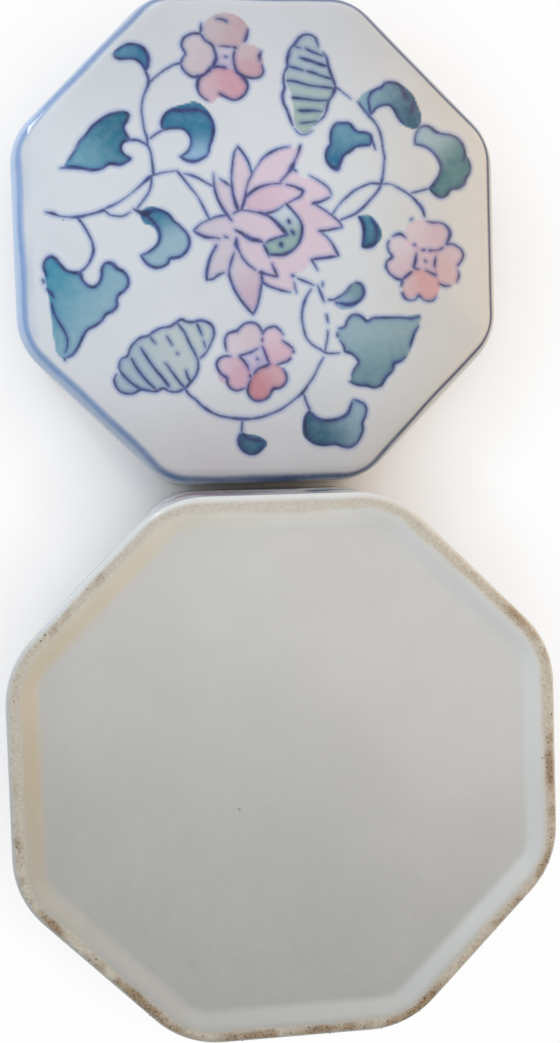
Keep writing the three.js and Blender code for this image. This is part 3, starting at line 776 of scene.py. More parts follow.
vines = {
    "lines": [
        [(145, 70.5, 2.6), (147.7, 77.6), (147.7, 84, 3), (145, 90.6, 1.8), (142, 100, 1.6),
         (141, 109, 1.6), (142, 118, 1.6), (144, 130, 1.8), (146.5, 137.5, 2.6), (147, 144),
         (149.6, 150, 2), (151.6, 161), (153, 174.5, 3)],
        [(148, 83), (153.5, 77.6, 1.6), (160, 72.4, 1.6), (168, 67, 1.8), (174, 64), (180, 62.7, 3)],
        [(128, 139.4, 3), (138, 140), (144, 143), (148, 146, 2.4)],
        [(162, 129.6, 2.4), (156, 133, 1.8), (149.6, 138)],
        [(153, 174, 2.6), (149, 177, 3.2), (142, 183, 2), (133, 191, 1.1), (124, 198, 0.9),
         (115, 203.5, 1.6), (105, 208, 2.4)],
        [(153, 174.5, 2), (160, 172.5, 1.5), (170, 171, 0.9), (177, 170, 0.9)],
        [(151, 176, 2.4), (150.5, 185, 2), (147.5, 193, 1.7), (142, 201, 1.5), (136.5, 208, 1.8)],
        [(45, 211.5, 1.4), (52, 213, 3), (59, 215.5, 1.4), (68, 216.5, 1.2), (77, 216.5, 3),
         (87, 214.5, 2.6), (96, 212, 2.6), (104, 209.5, 3.8)],
        [(104, 210, 2.8), (109, 214, 1.6), (116, 215.7, 1.6), (123, 215.3, 1.5), (130, 211.5, 0.9)],
        [(77, 217, 3.2), (81, 222), (86, 230, 2), (91, 240, 2), (93, 249.5, 2.6), (90.5, 258.6, 2.4),
         (86, 266), (79.4, 272, 3.2)],
        [(357, 101, 1.4), (363, 109, 1.9), (369, 116, 2.4), (374.4, 122, 2), (378.7, 130, 2),
         (381, 138, 1.8), (382.4, 148, 1.8), (384, 157.5, 2), (383.5, 163, 1.8), (383, 170, 1.8),
         (382, 177, 2), (380.5, 183.5, 3.6)],
        [(428, 188, 2.4), (419, 190.5, 1.8), (411, 192.7, 1.3)],
        [(380.5, 183.5, 3), (370, 183, 2), (362.7, 185.7, 2), (354, 190, 2), (346.7, 196),
         (342.4, 200, 1.6), (336, 207.6, 1), (332, 213.5)],
        [(381, 184, 3), (375.5, 192.7), (369, 200), (363, 206.5, 2.4), (355, 213, 2.4), (345, 217.5, 2),
         (339, 220, 2)],
        [(381, 183.5, 2.4), (390, 183.6, 1), (397, 187, 1.7), (405, 191.6, 1.8), (411, 196, 1.9),
         (417, 202.3, 2.6), (422, 209, 3), (424, 216, 2)],
        [(340, 90, 1.2), (350, 98, 0.8)],
        [(184, 387, 3), (188.6, 394), (195, 399), (201, 405, 2.4), (208, 410, 3), (217, 414.5),
         (228, 417), (242, 418.5, 3), (251, 418.3), (261, 416.5), (271, 413, 2), (280, 409, 2),
         (288, 403.5, 1.8), (295, 398, 1.8), (302.5, 391.7, 3), (307.7, 384, 2), (313, 376.5, 1.8),
         (318, 366, 1.6), (323, 357, 1.2)],
        [(303, 393, 2.4), (306, 402, 2), (309.6, 410, 2.8)],
        [(292, 275, 3.8), (294, 276, 1.6)],
        [(297, 277.7, 1.4), (303, 280.3), (309, 282.7, 2), (313, 284.6, 1.6)],
        [(311, 288, 1.4), (306.5, 295.4, 2), (302.7, 305.5, 2.6), (301.4, 315.7, 2), (302.7, 326, 1.8),
         (306.5, 338, 1.8), (313, 345, 1.7), (320, 349, 1.7), (325, 352, 2), (332, 353, 1.5),
         (339.4, 352.4, 1.2)],
        [(317, 285, 1.6), (320, 292, 2.4), (323.6, 301)],
        [(322, 282, 1.6), (322, 286, 1.5)],
        [(326, 314.4), (327.6, 322, 1.6)],
        [(327.4, 330, 1.3), (327, 337, 1.4), (325.5, 345, 1.5), (324.5, 351, 1.8)],
    ],
    "washes": [],
}
lidPainting = [
    lotus, flowerTop, flowerRight, flowerLow, budTop, budLow, leafTop, leafLeft, leafInner, leafUpperRight,
    leafRightEdge, leafMiddle, leafSmallRight, leafCurl, leafBigLeft, leafScroll, leafTiny, leafLowRight,
    leafLow, vines,
]
brush = {
    "pixel": 0.172,  # millimetres on the lid
    "width": 2.2,  # pixels, where a line gives none
    "step": 0.16,  # millimetres between the points of a stroke
    "tip": 0.7,  # millimetres over which a stroke starts and ends
    "tipWide": 0.6,  # share of the width at its very ends
    "pressEvery": 1.2,  # millimetres between changes of pressure
    "wobble": 0.1,
    "washStep": 0.35,  # millimetres between the points of a wash's edge
    "washSoft": 0.22,  # millimetres over which the edge of a wash fades
    "washAndShadeTint": (0.01, 1.1),  # darkest and lightest tint of a wash
    "reach": 0.9,  # how far from a stroke its bleeding is still worked out
    "room": 0.12,  # beside a stroke, where the mesh is as fine as under it
    "nearShare": 0.8,  # of a cell's size, within which an edge counts as near
    "sheen": 0.03,  # light that the glaze adds to every colour seen through it
}
seenGround = {"left": "dae3ea", "right": "cac6bf", "leftAt": 60, "rightAt": 470}  # bare glaze by the painting

# Lid: crowned top, soft shoulder, leaning side, flat rim, straight socket, ceiling that follows the top
lidShape = {
    "height": 16.0,
    "crown": 1.8,
    "draft": 0.4,
    "shoulder": 2.6,
    "corner": 10.5,
    "topCorner": 5.0,
    "rimWall": 3.2,
    "topWall": 3.4,
    "edgeRound": 0.6,
    "fillet": 5.0,
}
lidRows = {"shoulder": 26, "side": 24, "edge": 6, "socket": 6, "fillet": 8}  # of the mesh
shoulderZ = lidShape["height"] - lidShape["shoulder"]
lidSide = rim - lidShape["draft"] * shoulderZ / lidShape["height"]
shoulder = lidSide - lidShape["shoulder"]
lean = math.atan2(2 * lidShape["crown"], shoulder)
topEdge = shoulder + lidShape["shoulder"] * math.sin(lean)
topShare = lidShape["topCorner"] / topEdge
topEdgeZ = shoulderZ + lidShape["shoulder"] * math.cos(lean)
socket = rim - lidShape["rimWall"]


def topAt(flat):
    return topEdgeZ + lidShape["crown"] * (1 - (flat / topEdge) ** 2)


def evenCorner(flat, z=0):
    return lidShape["corner"] - (rim - flat)


def shoulderCorner(flat, z):
    share = (flat - topEdge) / (lidSide - topEdge)
    return lidShape["topCorner"] * (1 - share) + evenCorner(lidSide) * share


def socketCorner(flat, z):
    return evenCorner(socket) * flat / socket


def lidStations():
    edge, fillet = lidShape["edgeRound"], lidShape["fillet"]
    filletFlat = socket - fillet
    filletZ = topAt(filletFlat) - lidShape["topWall"] - fillet
    topTurn = 90 - math.degrees(lean)
    over = arc(shoulder, shoulderZ, lidShape["shoulder"], topTurn, 0, lidRows["shoulder"], shoulderCorner)
    under = [
        *arc(rim - edge, edge, edge, 0, -90, lidRows["edge"], evenCorner),
        *arc(socket + edge, edge, edge, -90, -180, lidRows["edge"], evenCorner),
    ]
    ceiling = arc(filletFlat, filletZ, fillet, 0, 90, lidRows["fillet"], socketCorner)
    side = straight(over[-1], under[0], lidRows["side"])
    inside = straight(under[-1], ceiling[0], lidRows["socket"])
    return over + side + under + inside + ceiling


# Where the rays through pixels of the photograph meet the lid's top, which a few rounds find
def ontoLid(pixels, rounds=5):
    pixels = np.asarray(pixels, float)
    place, size, axis = (np.array(photo[name]) for name in ("place", "pixels", "axis"))
    aim = (pixels + 0.5 - size / 2 - axis) / photo["focal"] * (1, -1)
    rays = np.column_stack([aim, np.full(len(aim), -1.0)]) @ cameraTurn.T
    height = np.full(len(aim), topAt(0.0))
    for _ in range(rounds):
        spots = place[:2] + rays[:, :2] * ((height - place[2]) / rays[:, 2])[:, None] - lidMiddle[:2]
        height = topAt(np.minimum(flatAt(spots, topShare), topEdge))
    return spots


def groundBeside(x):
    share = (x - seenGround["leftAt"]) / (seenGround["rightAt"] - seenGround["leftAt"])
    return linear(seenGround["left"]) * (1 - share) + linear(seenGround["right"]) * share


# One motif in millimetres on the lid. A wash's tint is what its colour takes from the ground under it.
def motifOnLid(motif):
    strokes, washes = [], []
    for line in motif["lines"]:
        widths = [(*point, brush["width"])[2] * brush["pixel"] for point in line]
        strokes.append(np.column_stack([ontoLid([point[:2] for point in line]), widths]))
    for wash in motif["washes"]:
        ends = {}
        for end in ("pale", "deep"):
            colour, x, y = wash[end]
            under = linear(wash["over"]) if "over" in wash else groundBeside(x)
            seen = (linear(colour) - brush["sheen"]) / (under - brush["sheen"])
            ends[end] = (np.clip(seen, *brush["washAndShadeTint"]), ontoLid([(x, y)])[0])
        washes.append({"edge": ontoLid(wash["edge"]), "whole": wash.get("whole", False), **ends})
    return {"strokes": strokes, "washes": washes}


# The brush starts and ends with a tip, and its pressure changes a little on the way
def brushStroke(points):
    line = smoothLine(points, brush["step"])
    along = np.concatenate([[0], np.cumsum(np.hypot(*np.diff(line[:, :2], axis=0).T))])
    tip = min(brush["tip"], along[-1] / 2)
    ends = np.clip(np.minimum(along, along[-1] - along) / max(tip, tiny), 0, 1)
    marks = np.arange(0, along[-1] + 2 * brush["pressEvery"], brush["pressEvery"])
    pressure = 1 + brush["wobble"] * np.interp(along, marks, random.normal(size=len(marks)))
    line[:, 2] *= (brush["tipWide"] + (1 - brush["tipWide"]) * np.sqrt(ends)) * pressure
    return line


def smoothWash(wash, step):
    return {**wash, "edge": smoothLine(wash["edge"], step, True)}


# Depth in the ink and tint of the washes, at places on a painted sheet
def paintSheet(places, strokes, washes):
    ink = strokeDepth(places, strokes, brush["reach"])
    tint = np.ones((len(places), 3))
    soft = brush["washSoft"] / 2
    for wash in washes:
        cover = smoothStep(-soft, soft, washDepth(places, wash["edge"], brush["reach"]))[:, None]
        (paleTint, paleAt), (deepTint, deepAt) = wash["pale"], wash["deep"]
        way = deepAt - paleAt
        share = smoothStep(0, 1, (places - paleAt) @ way / (way @ way))[:, None]
        colour = paleTint * (1 - share) + deepTint * share
        tint = tint * (1 - cover) + (colour if wash["whole"] else colour * tint) * cover
    return ink, tint


# Where a grid is halved: along the strokes and, but for the last time, along the edges of the washes
def busyPlaces(strokes, washes):
    def busy(cells, size, left):
        close, reach = brush["nearShare"] * size, brush["reach"] + size
        near = strokeDepth(cells, strokes, reach) > -close - brush["room"]
        for wash in washes if left > 1 else ():
            near |= np.abs(washDepth(cells, wash["edge"], reach)) < close
        return near
    return busy


# Tint that goes from none to a colour, by a share at each point
def tintTo(colour, share):
    return 1 - share[..., None] * (1 - colour)


# Mesh with a value, or a colour, for each point and field
def shellObject(name, points, faces, fields, material):
    mesh = bpy.data.meshes.new(name)
    mesh.from_pydata((points * mm).tolist(), [], faces)
    for field, values in fields.items():
        if values.ndim == 1:
            data = mesh.attributes.new(field, "FLOAT", "POINT").data
            data.foreach_set("value", values.astype(np.float32))
        else:
            data = mesh.attributes.new(field, "FLOAT_COLOR", "POINT").data
            colours = np.column_stack([values, np.ones(len(values))])
            data.foreach_set("color", colours.astype(np.float32).ravel())
    mesh.shade_smooth()
    mesh.materials.append(material)
    return addObject(name, mesh)


lidLook = {
    "ground": "dfe8ef",
    "groundCloud": "dae3ea",
    "washThin": 0.95,
    "washThick": 1.03,
    "feather": 0.18,  # millimetres that the ink's edge wanders
    "inkSoft": 0.19,
    "bleed": 0.7,
    "bleedShare": 0.7,
    "bleedColour": "b2c4ee",
    "ink": "1b2460",
    "inkThin": "3f4e97",
    "inkShare": 0.92,
    "inkSoaked": 0.6,  # how far ink takes the tint of the wash under it
    "speckEvery": 9.0,
    "speckShare": 0.5,
    "speckColour": "6d675f",
    "biscuit": "d6d2c6",
    "biscuitDeep": "c5bfae",
    "biscuitRough": 0.7,
    "grime": "9a8060",
    "grimeShare": 0.8,
    "pit": "64533f",
    "pitShare": 0.75,
    "soils": {"dirt": 1.0, "pit": 0.16},  # how strongly a stain brings them out
    "gloss": 0.1,
    "glossSpread": (0.8, 1.25),
    "refraction": 1.5,
    "waveHigh": 0.02,
    "gritHigh": 0.03,
    "grains": {  # size in millimetres, detail and roughness
        "cloud": (24.0, 5.0, 0.6),
        "wash": (1.4, 4.0, 0.6),
        "feather": (0.5, 3.0, 0.5),
        "pool": (1.0, 2.0, 0.5),
        "sand": (0.5, 4.0, 0.65),
        "dirt": (1.6, 5.0, 0.7),
        "pit": (0.35, 2.0, 0.6),
        "gloss": (9.0, 2.0, 0.5),
        "wave": (7.0, 1.0, 0.5),
        "grit": (0.22, 3.0, 0.6),
    },
    "ranges": {  # of the grain, over which each sets in
        "cloud": (0.35, 0.65),
        "wash": (0.3, 0.7),
        "pool": (0.35, 0.65),
        "speck": (0.012, 0.03),
        "sand": (0.35, 0.65),
        "dirt": (0.6, 1.45),
        "pit": (0.66, 0.76),
        "gloss": (0.3, 0.7),
    },
}
baseLook = {**lidLook, "ground": "dcdfdd", "groundCloud": "d6d9d6", "gloss": 0.13}


# What varies over the porcelain: its painted fields, and noise of each grain
def glazeGrains(tree, look):
    place = addNode(tree, "ShaderNodeTexCoord").outputs["Object"]
    field, grain = {}, {}
    for layer in ("ink", "washAndShadeTint", "bare", "stain"):
        node = addNode(tree, "ShaderNodeAttribute", attribute_name=layer)
        field[layer] = node.outputs["Color" if layer == "washAndShadeTint" else "Fac"]
    for part, (size, detail, rough) in look["grains"].items():
        node = addNode(tree, "ShaderNodeTexNoise", {
            "Vector": place, "Scale": 1 / (size * mm), "Detail": detail, "Roughness": rough,
        })
        grain[part] = node.outputs["Fac"]
    dots = addNode(tree, "ShaderNodeTexVoronoi", {"Vector": place, "Scale": 1 / (look["speckEvery"] * mm)})
    grain["speck"] = dots.outputs["Distance"]
    for part, weight in look["soils"].items():
        node = addNode(tree, "ShaderNodeMath", {
            0: field["stain"], 1: weight, 2: grain[part],
        }, operation="MULTIPLY_ADD")
        grain[part] = node.outputs[0]
    feather = addNode(tree, "ShaderNodeMath", {
        0: grain["feather"], 1: look["feather"], 2: -look["feather"] / 2,
    }, operation="MULTIPLY_ADD")
    edge = addNode(tree, "ShaderNodeMath", {0: field["ink"], 1: feather.outputs[0]}, operation="ADD")
    field["ink"] = edge.outputs[0]
    return field, grain


# How much of each layer shows, and how rough the glaze is
def glazeShares(tree, look, field, grain):
    ranges = look["ranges"]
    gloss = [look["gloss"] * spread for spread in look["glossSpread"]]
    share = {}
    for part, source, span, ends in (
        ("cloud", grain["cloud"], ranges["cloud"], (0.0, 1.0)),
        ("wash", grain["wash"], ranges["wash"], (look["washThin"], look["washThick"])),
        ("bleed", field["ink"], (-look["bleed"], 0.0), (0.0, look["bleedShare"])),
        ("pool", grain["pool"], ranges["pool"], (0.0, 1.0)),
        ("ink", field["ink"], (-look["inkSoft"], look["inkSoft"]), (0.0, look["inkShare"])),
        ("speck", grain["speck"], ranges["speck"], (look["speckShare"], 0.0)),
        ("sand", grain["sand"], ranges["sand"], (0.0, 1.0)),
        ("dirt", grain["dirt"], ranges["dirt"], (0.0, look["grimeShare"])),
        ("pit", grain["pit"], ranges["pit"], (0.0, look["pitShare"])),
        ("gloss", grain["gloss"], ranges["gloss"], gloss),
    ):
        node = addNode(tree, "ShaderNodeMapRange", {
            "Value": source, "From Min": span[0], "From Max": span[1], "To Min": ends[0], "To Max": ends[1],
        }, interpolation_type="SMOOTHSTEP")
        share[part] = node.outputs["Result"]
    return share


# Layers of colour, each on an earlier one or on a plain colour
def glazeColour(tree, look, field, share):
    made = {}
    for part, under, over, factor, blend in (
        ("glaze", rgba(look["ground"]), rgba(look["groundCloud"]), share["cloud"], "MIX"),
        # the tint field holds the washes and border lines, and painted light and shade
        ("wash", (1, 1, 1, 1), field["washAndShadeTint"], share["wash"], "MIX"),
        ("washed", "glaze", "wash", 1.0, "MULTIPLY"),
        ("bled", "washed", rgba(look["bleedColour"]), share["bleed"], "MULTIPLY"),
        ("cobalt", rgba(look["ink"]), rgba(look["inkThin"]), share["pool"], "MIX"),
        ("soaked", "cobalt", "wash", look["inkSoaked"], "MULTIPLY"),
        ("painted", "bled", "soaked", share["ink"], "MIX"),
        ("specked", "painted", rgba(look["speckColour"]), share["speck"], "MIX"),
        ("sand", rgba(look["biscuit"]), rgba(look["biscuitDeep"]), share["sand"], "MIX"),
        ("stained", "sand", rgba(look["grime"]), share["dirt"], "MIX"),
        ("pitted", "stained", rgba(look["pit"]), share["pit"], "MIX"),
        ("colour", "specked", "pitted", field["bare"], "MIX"),
    ):
        node = addNode(tree, "ShaderNodeMix", {  # inputs 6 and 7 and output 2 are its colours
            "Factor": factor, 6: made.get(under, under), 7: made.get(over, over),
        }, data_type="RGBA", blend_type=blend, clamp_factor=False)
        made[part] = node.outputs[2]
    return made["colour"]


# Glazed porcelain: a glassy clear coat over white body, so that lights show as small sharp gleams. The
# painting is under the glaze: cobalt lines bleed a little into it, and washes lie in brushed, uneven layers.
# Bare crests are biscuit: matt, sandy and stained. The tint field carries painted light and shade as well as
# the washes.
def glazedPorcelain(name, look):
    material = blankMaterial(name)
    tree = material.node_tree
    field, grain = glazeGrains(tree, look)
    share = glazeShares(tree, look, field, grain)
    high = {}
    for part in ("wave", "grit"):
        node = addNode(tree, "ShaderNodeMath", {
            0: grain[part], 1: look[part + "High"] * mm,
        }, operation="MULTIPLY")
        high[part] = node.outputs[0]
    height = addNode(tree, "ShaderNodeMix", {"Factor": field["bare"], 2: high["wave"], 3: high["grit"]})
    rough = addNode(tree, "ShaderNodeMix", {
        "Factor": field["bare"], 2: share["gloss"], 3: look["biscuitRough"],
    })
    bump = addNode(tree, "ShaderNodeBump", {"Height": height.outputs[0], "Distance": 1.0})
    surface = addNode(tree, "ShaderNodeBsdfPrincipled", {
        "Base Color": glazeColour(tree, look, field, share), "Roughness": rough.outputs[0],
        "IOR": look["refraction"], "Normal": bump.outputs["Normal"],
    })
    addNode(tree, "ShaderNodeOutputMaterial", {"Surface": surface.outputs["BSDF"]})
    return material


# Lid with its painting, border, bare rim, and painted light and shade. Lists hold a value for each side,
# counter-clockwise from +X.
lidRim = {
    "lineAt": (36.6, 36.6, 36.6, 36.3, 35.9, 36.2, 37.2, 36.6),  # half width where the border line runs
    "lineWide": (0.45, 0.5, 0.6, 0.85, 0.9, 0.8, 1.0, 0.45),
    "lineCore": 0.1,  # share of that width that has the full colour
    # painted shade: how far the brush's blue border line is darkened on each side, most on the right and the
    # bottom where it lies in shade
    "lineShade": (0.86, 0.72, 0.5, 0.22, 0.05, 0.08, 0.6, 0.86),
    "line": "aac4ea",
    "lineShadeColour": "3f4670",
    "outside": "d2e2f7",  # thin blue beyond the line
    "outsideFrom": (-0.2, 0.4),
    "waver": ((0.12, 7.3, 1.0), (0.08, 17.1, 0.0)),  # millimetres, speed and start of the lines' waver
    "paintedShading": (  # painted light and shade: the glaze is tinted towards these sides, darker at top and bottom and warmer at the right, between these distances from the middle
        (1, 0, 8, 36, "f5ebdf"),
        (0, 1, 8, 36, "eceaea"),
        (0, -1, 15, 39, "e2dbd8"),
    ),
    "sideLineAt": 2.2,
    "sideLineWide": 1.1,
    "sideLineCore": 0.6,
    "sideLine": "36468c",
    "bareTo": (0.35, 0.1),  # heights over which the glaze ends above the rim
    "bareWaver": 0.6,
    "stain": 0.3,
}
lidMotifs = [motifOnLid(motif) for motif in lidPainting]
lidStrokes = [brushStroke(stroke) for motif in lidMotifs for stroke in motif["strokes"]]
lidWashes = [smoothWash(wash, brush["washStep"]) for motif in lidMotifs for wash in motif["washes"]]
stations = lidStations()
lidWalls = ringPoints(stations)
topCells = sheetCells("top", topEdge, lidShape["topCorner"], busyPlaces(lidStrokes, lidWashes))
ceilingFlat, _, ceilingCorner = stations[-1]
ceilingCells = sheetCells("hidden", ceilingFlat, ceilingCorner)
ceilingHigh = topAt(flatAt(ceilingCells, ceilingCorner / ceilingFlat)) - lidShape["topWall"]
lidPoints = np.concatenate([
    lidWalls,
    np.column_stack([topCells, topAt(flatAt(topCells, topShare))]),
    np.column_stack([ceilingCells, ceilingHigh]),
])
topFirst, ceilingFirst = len(lidWalls), len(lidWalls) + len(topCells)
topFaces = sheetFaces(lidWalls, 0, topCells, topFirst)
ceilingFaces = sheetFaces(lidWalls, len(lidWalls) - columns, ceilingCells, ceilingFirst)[:, ::-1]
lidFaces = ringFaces(len(stations)) + topFaces.tolist() + ceilingFaces.tolist()

lidInk = np.full(len(lidPoints), -brush["reach"])
lidTint = np.ones((len(lidPoints), 3))
onTop = slice(topFirst, ceilingFirst)
lidInk[onTop], lidTint[onTop] = paintSheet(topCells, lidStrokes, lidWashes)
wallFlat = np.repeat([flat for flat, z, corner in stations], columns)
wallHigh = lidWalls[:, 2]
onOutside = np.repeat(np.arange(len(stations)) < lidRows["shoulder"] + lidRows["side"], columns)
waver = sum(swing * np.sin(columnTurns * speed + start) for swing, speed, start in lidRim["waver"])
waver = np.tile(waver * np.sin(np.pi * columnTurns / sides), len(stations))  # none where the line closes
lineAt, lineWide, lineShade = (
    np.tile(bySide(lidRim[name], columnTurns), len(stations)) for name in ("lineAt", "lineWide", "lineShade")
)
pastLine = wallFlat + waver - lineAt
onShoulder = (wallHigh > shoulderZ) & onOutside
border = onShoulder * (1 - smoothStep(lidRim["lineCore"], 1, np.abs(pastLine) / lineWide))
beyond = onShoulder * smoothStep(*lidRim["outsideFrom"], pastLine) * (1 - lineShade)
fromSideLine = np.abs(wallHigh + waver - lidRim["sideLineAt"]) / lidRim["sideLineWide"]
sideLine = onOutside * (1 - smoothStep(lidRim["sideLineCore"], 1, fromSideLine))
# the border line's colour: its blue, darkened by painted shade on the shaded sides
lineColour = linear(lidRim["line"]) * (1 - lineShade[:, None]) + linear(lidRim["lineShadeColour"]) * lineShade[:, None]
lidTint[:topFirst] = (
    tintTo(lineColour, border) * tintTo(linear(lidRim["outside"]), beyond)
    * tintTo(linear(lidRim["sideLine"]), sideLine)
)
# painted light and shade across the lid's glaze
for x, y, near, far, colour in lidRim["paintedShading"]:
    lidTint *= tintTo(linear(colour), smoothStep(near, far, lidPoints[:, :2] @ (x, y)))
lidBare = np.zeros(len(lidPoints))
lidBare[:topFirst] = smoothStep(*lidRim["bareTo"], wallHigh + lidRim["bareWaver"] * waver)
paintedLid = shellObject(
    "painted_lid", lidPoints + (lidMiddle[0], lidMiddle[1], lidLow[2]), lidFaces,
    {"ink": lidInk, "washAndShadeTint": lidTint, "bare": lidBare, "stain": lidBare * lidRim["stain"]},
    glazedPorcelain("glazed porcelain, lid", lidLook),
)
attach(paintedLid, "lid")
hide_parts("lid")
print("lid:", len(lidPoints), "points,", len(lidFaces), "faces,", len(lidStrokes), "strokes")

# Base, upright while it is made: floor, inside wall, flange, seat, painted wall, foot ring, hollow underside
baseShape = {
    "height": 38.0,
    "draft": 0.8,
    "wall": 3.4,
    "footCorner": 13.0,
    "footRound": 1.0,
    "crest": 0.9,
    "slope": 3.1,
    "depth": 0.8,
    "rise": 0.5,
    "undersideCorner": 3.0,
    "floorFillet": 6.0,
    "flange": 4.0,
    "flangeWall": 2.4,
    "fitGap": 0.4,
    "edgeRound": 0.6,
    "crisp": 0.08,  # beside the corner between flange and seat, so that its shading stays crisp
}
baseRows = {"bowl": 6, "inside": 3, "flangeEdge": 4, "lip": 6, "footRound": 12, "crest": 8, "slope": 18}
flangeOut = socket - baseShape["fitGap"]
flangeIn = flangeOut - baseShape["flangeWall"]


def wallAt(z):
    return rim - baseShape["draft"] * (1 - z / baseShape["height"])


def wallCorner(z):
    share = z / baseShape["height"]
    return baseShape["footCorner"] * (1 - share) + lidShape["corner"] * share


def insideAt(z):
    return wallAt(z) - baseShape["wall"]


def insideCorner(flat, z):
    return (wallCorner(z) - baseShape["wall"]) * flat / insideAt(z)


foot = wallAt(baseShape["footRound"]) - baseShape["footRound"]
crest = foot - baseShape["crest"]
underside = crest - baseShape["slope"]
floorZ = baseShape["depth"] + baseShape["rise"] + baseShape["wall"]


def footCorner(flat, z):
    share = (flat - underside) / (wallAt(z) - underside)
    return baseShape["undersideCorner"] * (1 - share) + wallCorner(z) * share


def undersideAt(flat):
    return baseShape["depth"] + baseShape["rise"] * (1 - (flat / underside) ** 2)


# Stations from the floor up the inside, over the flange and down to the seat's lip
def upperStations():
    high, edge, fillet, crisp = (baseShape[name] for name in ("height", "edgeRound", "floorFillet", "crisp"))
    top, ledge = high + baseShape["flange"], high - baseShape["wall"]
    ledgeFoot = ledge - (insideAt(ledge) - flangeIn)
    bowlZ = floorZ + fillet
    bowl = arc(insideAt(bowlZ) - fillet, bowlZ, fillet, -90, 0, baseRows["bowl"], insideCorner)
    step = (insideAt(ledgeFoot), ledgeFoot, insideCorner(insideAt(ledgeFoot), ledgeFoot))
    return [
        *bowl,
        *straight(bowl[-1], step, baseRows["inside"]),
        step,
        (flangeIn, ledge, evenCorner(flangeIn)),
        *arc(flangeIn + edge, top - edge, edge, 180, 90, baseRows["flangeEdge"], evenCorner),
        *arc(flangeOut - edge, top - edge, edge, 90, 0, baseRows["flangeEdge"], evenCorner),
        (flangeOut, high + crisp, evenCorner(flangeOut)),
        (flangeOut, high, evenCorner(flangeOut)),
        (flangeOut + crisp, high, evenCorner(flangeOut + crisp)),
        *arc(rim - edge, high - edge, edge, 90, 0, baseRows["lip"], evenCorner),
    ]


# Stations from the wall's foot over the crest and down the slope to the underside
def footStations():
    edge = baseShape["footRound"]
    turn = arc(foot, edge, edge, 0, -90, baseRows["footRound"], footCorner)
    flat = [(f, 0.0, footCorner(f, 0.0)) for f in np.linspace(foot, crest, baseRows["crest"] + 1)[1:]]
    share = np.linspace(0, 1, baseRows["slope"] + 1)[1:]
    run, lift = crest - baseShape["slope"] * share, baseShape["depth"] * smoothStep(0, 1, share)
    return turn + flat + [(f, z, footCorner(f, z)) for f, z in zip(run, lift)]


# Wall of the base, unrolled: along it counter-clockwise, and up from the foot. It repeats motifs of the lid.
wallPaint = {
    "side": 31.0,  # millimetres of wall for each side
    "vineAt": 18.5,
    "vineSwing": 6.5,
    "vineWaves": 4,
    "vineWide": 0.36,
    "vinePoints": 97,
    "lines": ((2.2, 0.5), (34.9, 0.55), (36.0, 0.8)),  # height and width of the blue lines near foot and rim
    "linePoints": 63,
    "washStep": 0.4,
    "seamPoints": 80,  # up the seam where the unrolled wall closes
}
wallLong = sides * wallPaint["side"]
stamps = [  # motif, side, along it, up, turn in degrees, scale
    (flowerTop, 0, -6, 22, 10, 1.0), (leafMiddle, 0, 10, 14, 160, 1.0), (leafTop, 0, 5, 29, 30, 1.1),
    (budTop, 1, -3, 17, 70, 0.9), (leafSmallRight, 1, 11, 26, 30, 1.2), (leafCurl, 1, -13, 28, 0, 1.1),
    (flowerRight, 2, 2, 14, 40, 1.0), (leafInner, 2, -10, 25, 200, 1.0), (leafTiny, 2, 14, 28, 20, 1.2),
    (leafScroll, 3, -4, 21, 100, 0.95), (leafCurl, 3, 11, 11, 180, 1.2), (leafTop, 3, -14, 10, 200, 1.1),
    (flowerLow, 4, -3, 23, 0, 1.0), (leafUpperRight, 4, 12, 15, 210, 0.9), (leafTiny, 4, -14, 12, 90, 1.2),
    (budLow, 5, -2, 16, 30, 0.75), (leafMiddle, 5, 13, 27, 0, 0.9), (leafSmallRight, 5, -14, 27, 0, 1.1),
    (flowerTop, 6, -8.5, 14, 200, 1.25), (leafInner, 6, 10.5, 13, 60, 1.3), (leafTop, 6, 2, 28, 10, 1.2),
    (leafRightEdge, 7, -4, 20, 80, 0.8), (leafCurl, 7, 10, 27, 20, 1.2), (leafTiny, 7, 11, 12, 200, 1.2),
]


def stampedWall():
    strokes, washes = [], []
    for motif, side, along, up, turn, scale in stamps:
        laid = motifOnLid(motif)
        middle = np.concatenate([wash["edge"] for wash in laid["washes"]]).mean(0)
        c, s = math.cos(math.radians(turn)), math.sin(math.radians(turn))
        spin = np.array([[c, s], [-s, c]]) * scale
        spot = np.array([(side + 0.5) * wallPaint["side"] + along, up])
        for stroke in laid["strokes"]:
            strokes.append(np.column_stack([(stroke[:, :2] - middle) @ spin + spot, stroke[:, 2]]))
        for wash in laid["washes"]:
            ends = {end: (wash[end][0], (wash[end][1] - middle) @ spin + spot) for end in ("pale", "deep")}
            washes.append({"edge": (wash["edge"] - middle) @ spin + spot, "whole": wash["whole"], **ends})
    return strokes, washes


def wallLines():
    around = np.linspace(0, wallLong, wallPaint["linePoints"])
    return [np.column_stack([around, np.full_like(around, up), np.full_like(around, wide)])
            for up, wide in wallPaint["lines"]]


def wallVine():
    around = np.linspace(0, wallLong, wallPaint["vinePoints"])
    wave = np.sin(around / wallLong * 2 * np.pi * wallPaint["vineWaves"])
    up = wallPaint["vineAt"] + wallPaint["vineSwing"] * wave
    return np.column_stack([around, up, np.full_like(around, wallPaint["vineWide"])])


# The unrolled wall starts half a side before the middle of side 0
def onWall(places):
    turn, z = places[:, 0] / wallPaint["side"] - 0.5, places[:, 1]
    return np.column_stack([octagon(wallAt(z), wallCorner(z), turn), z])


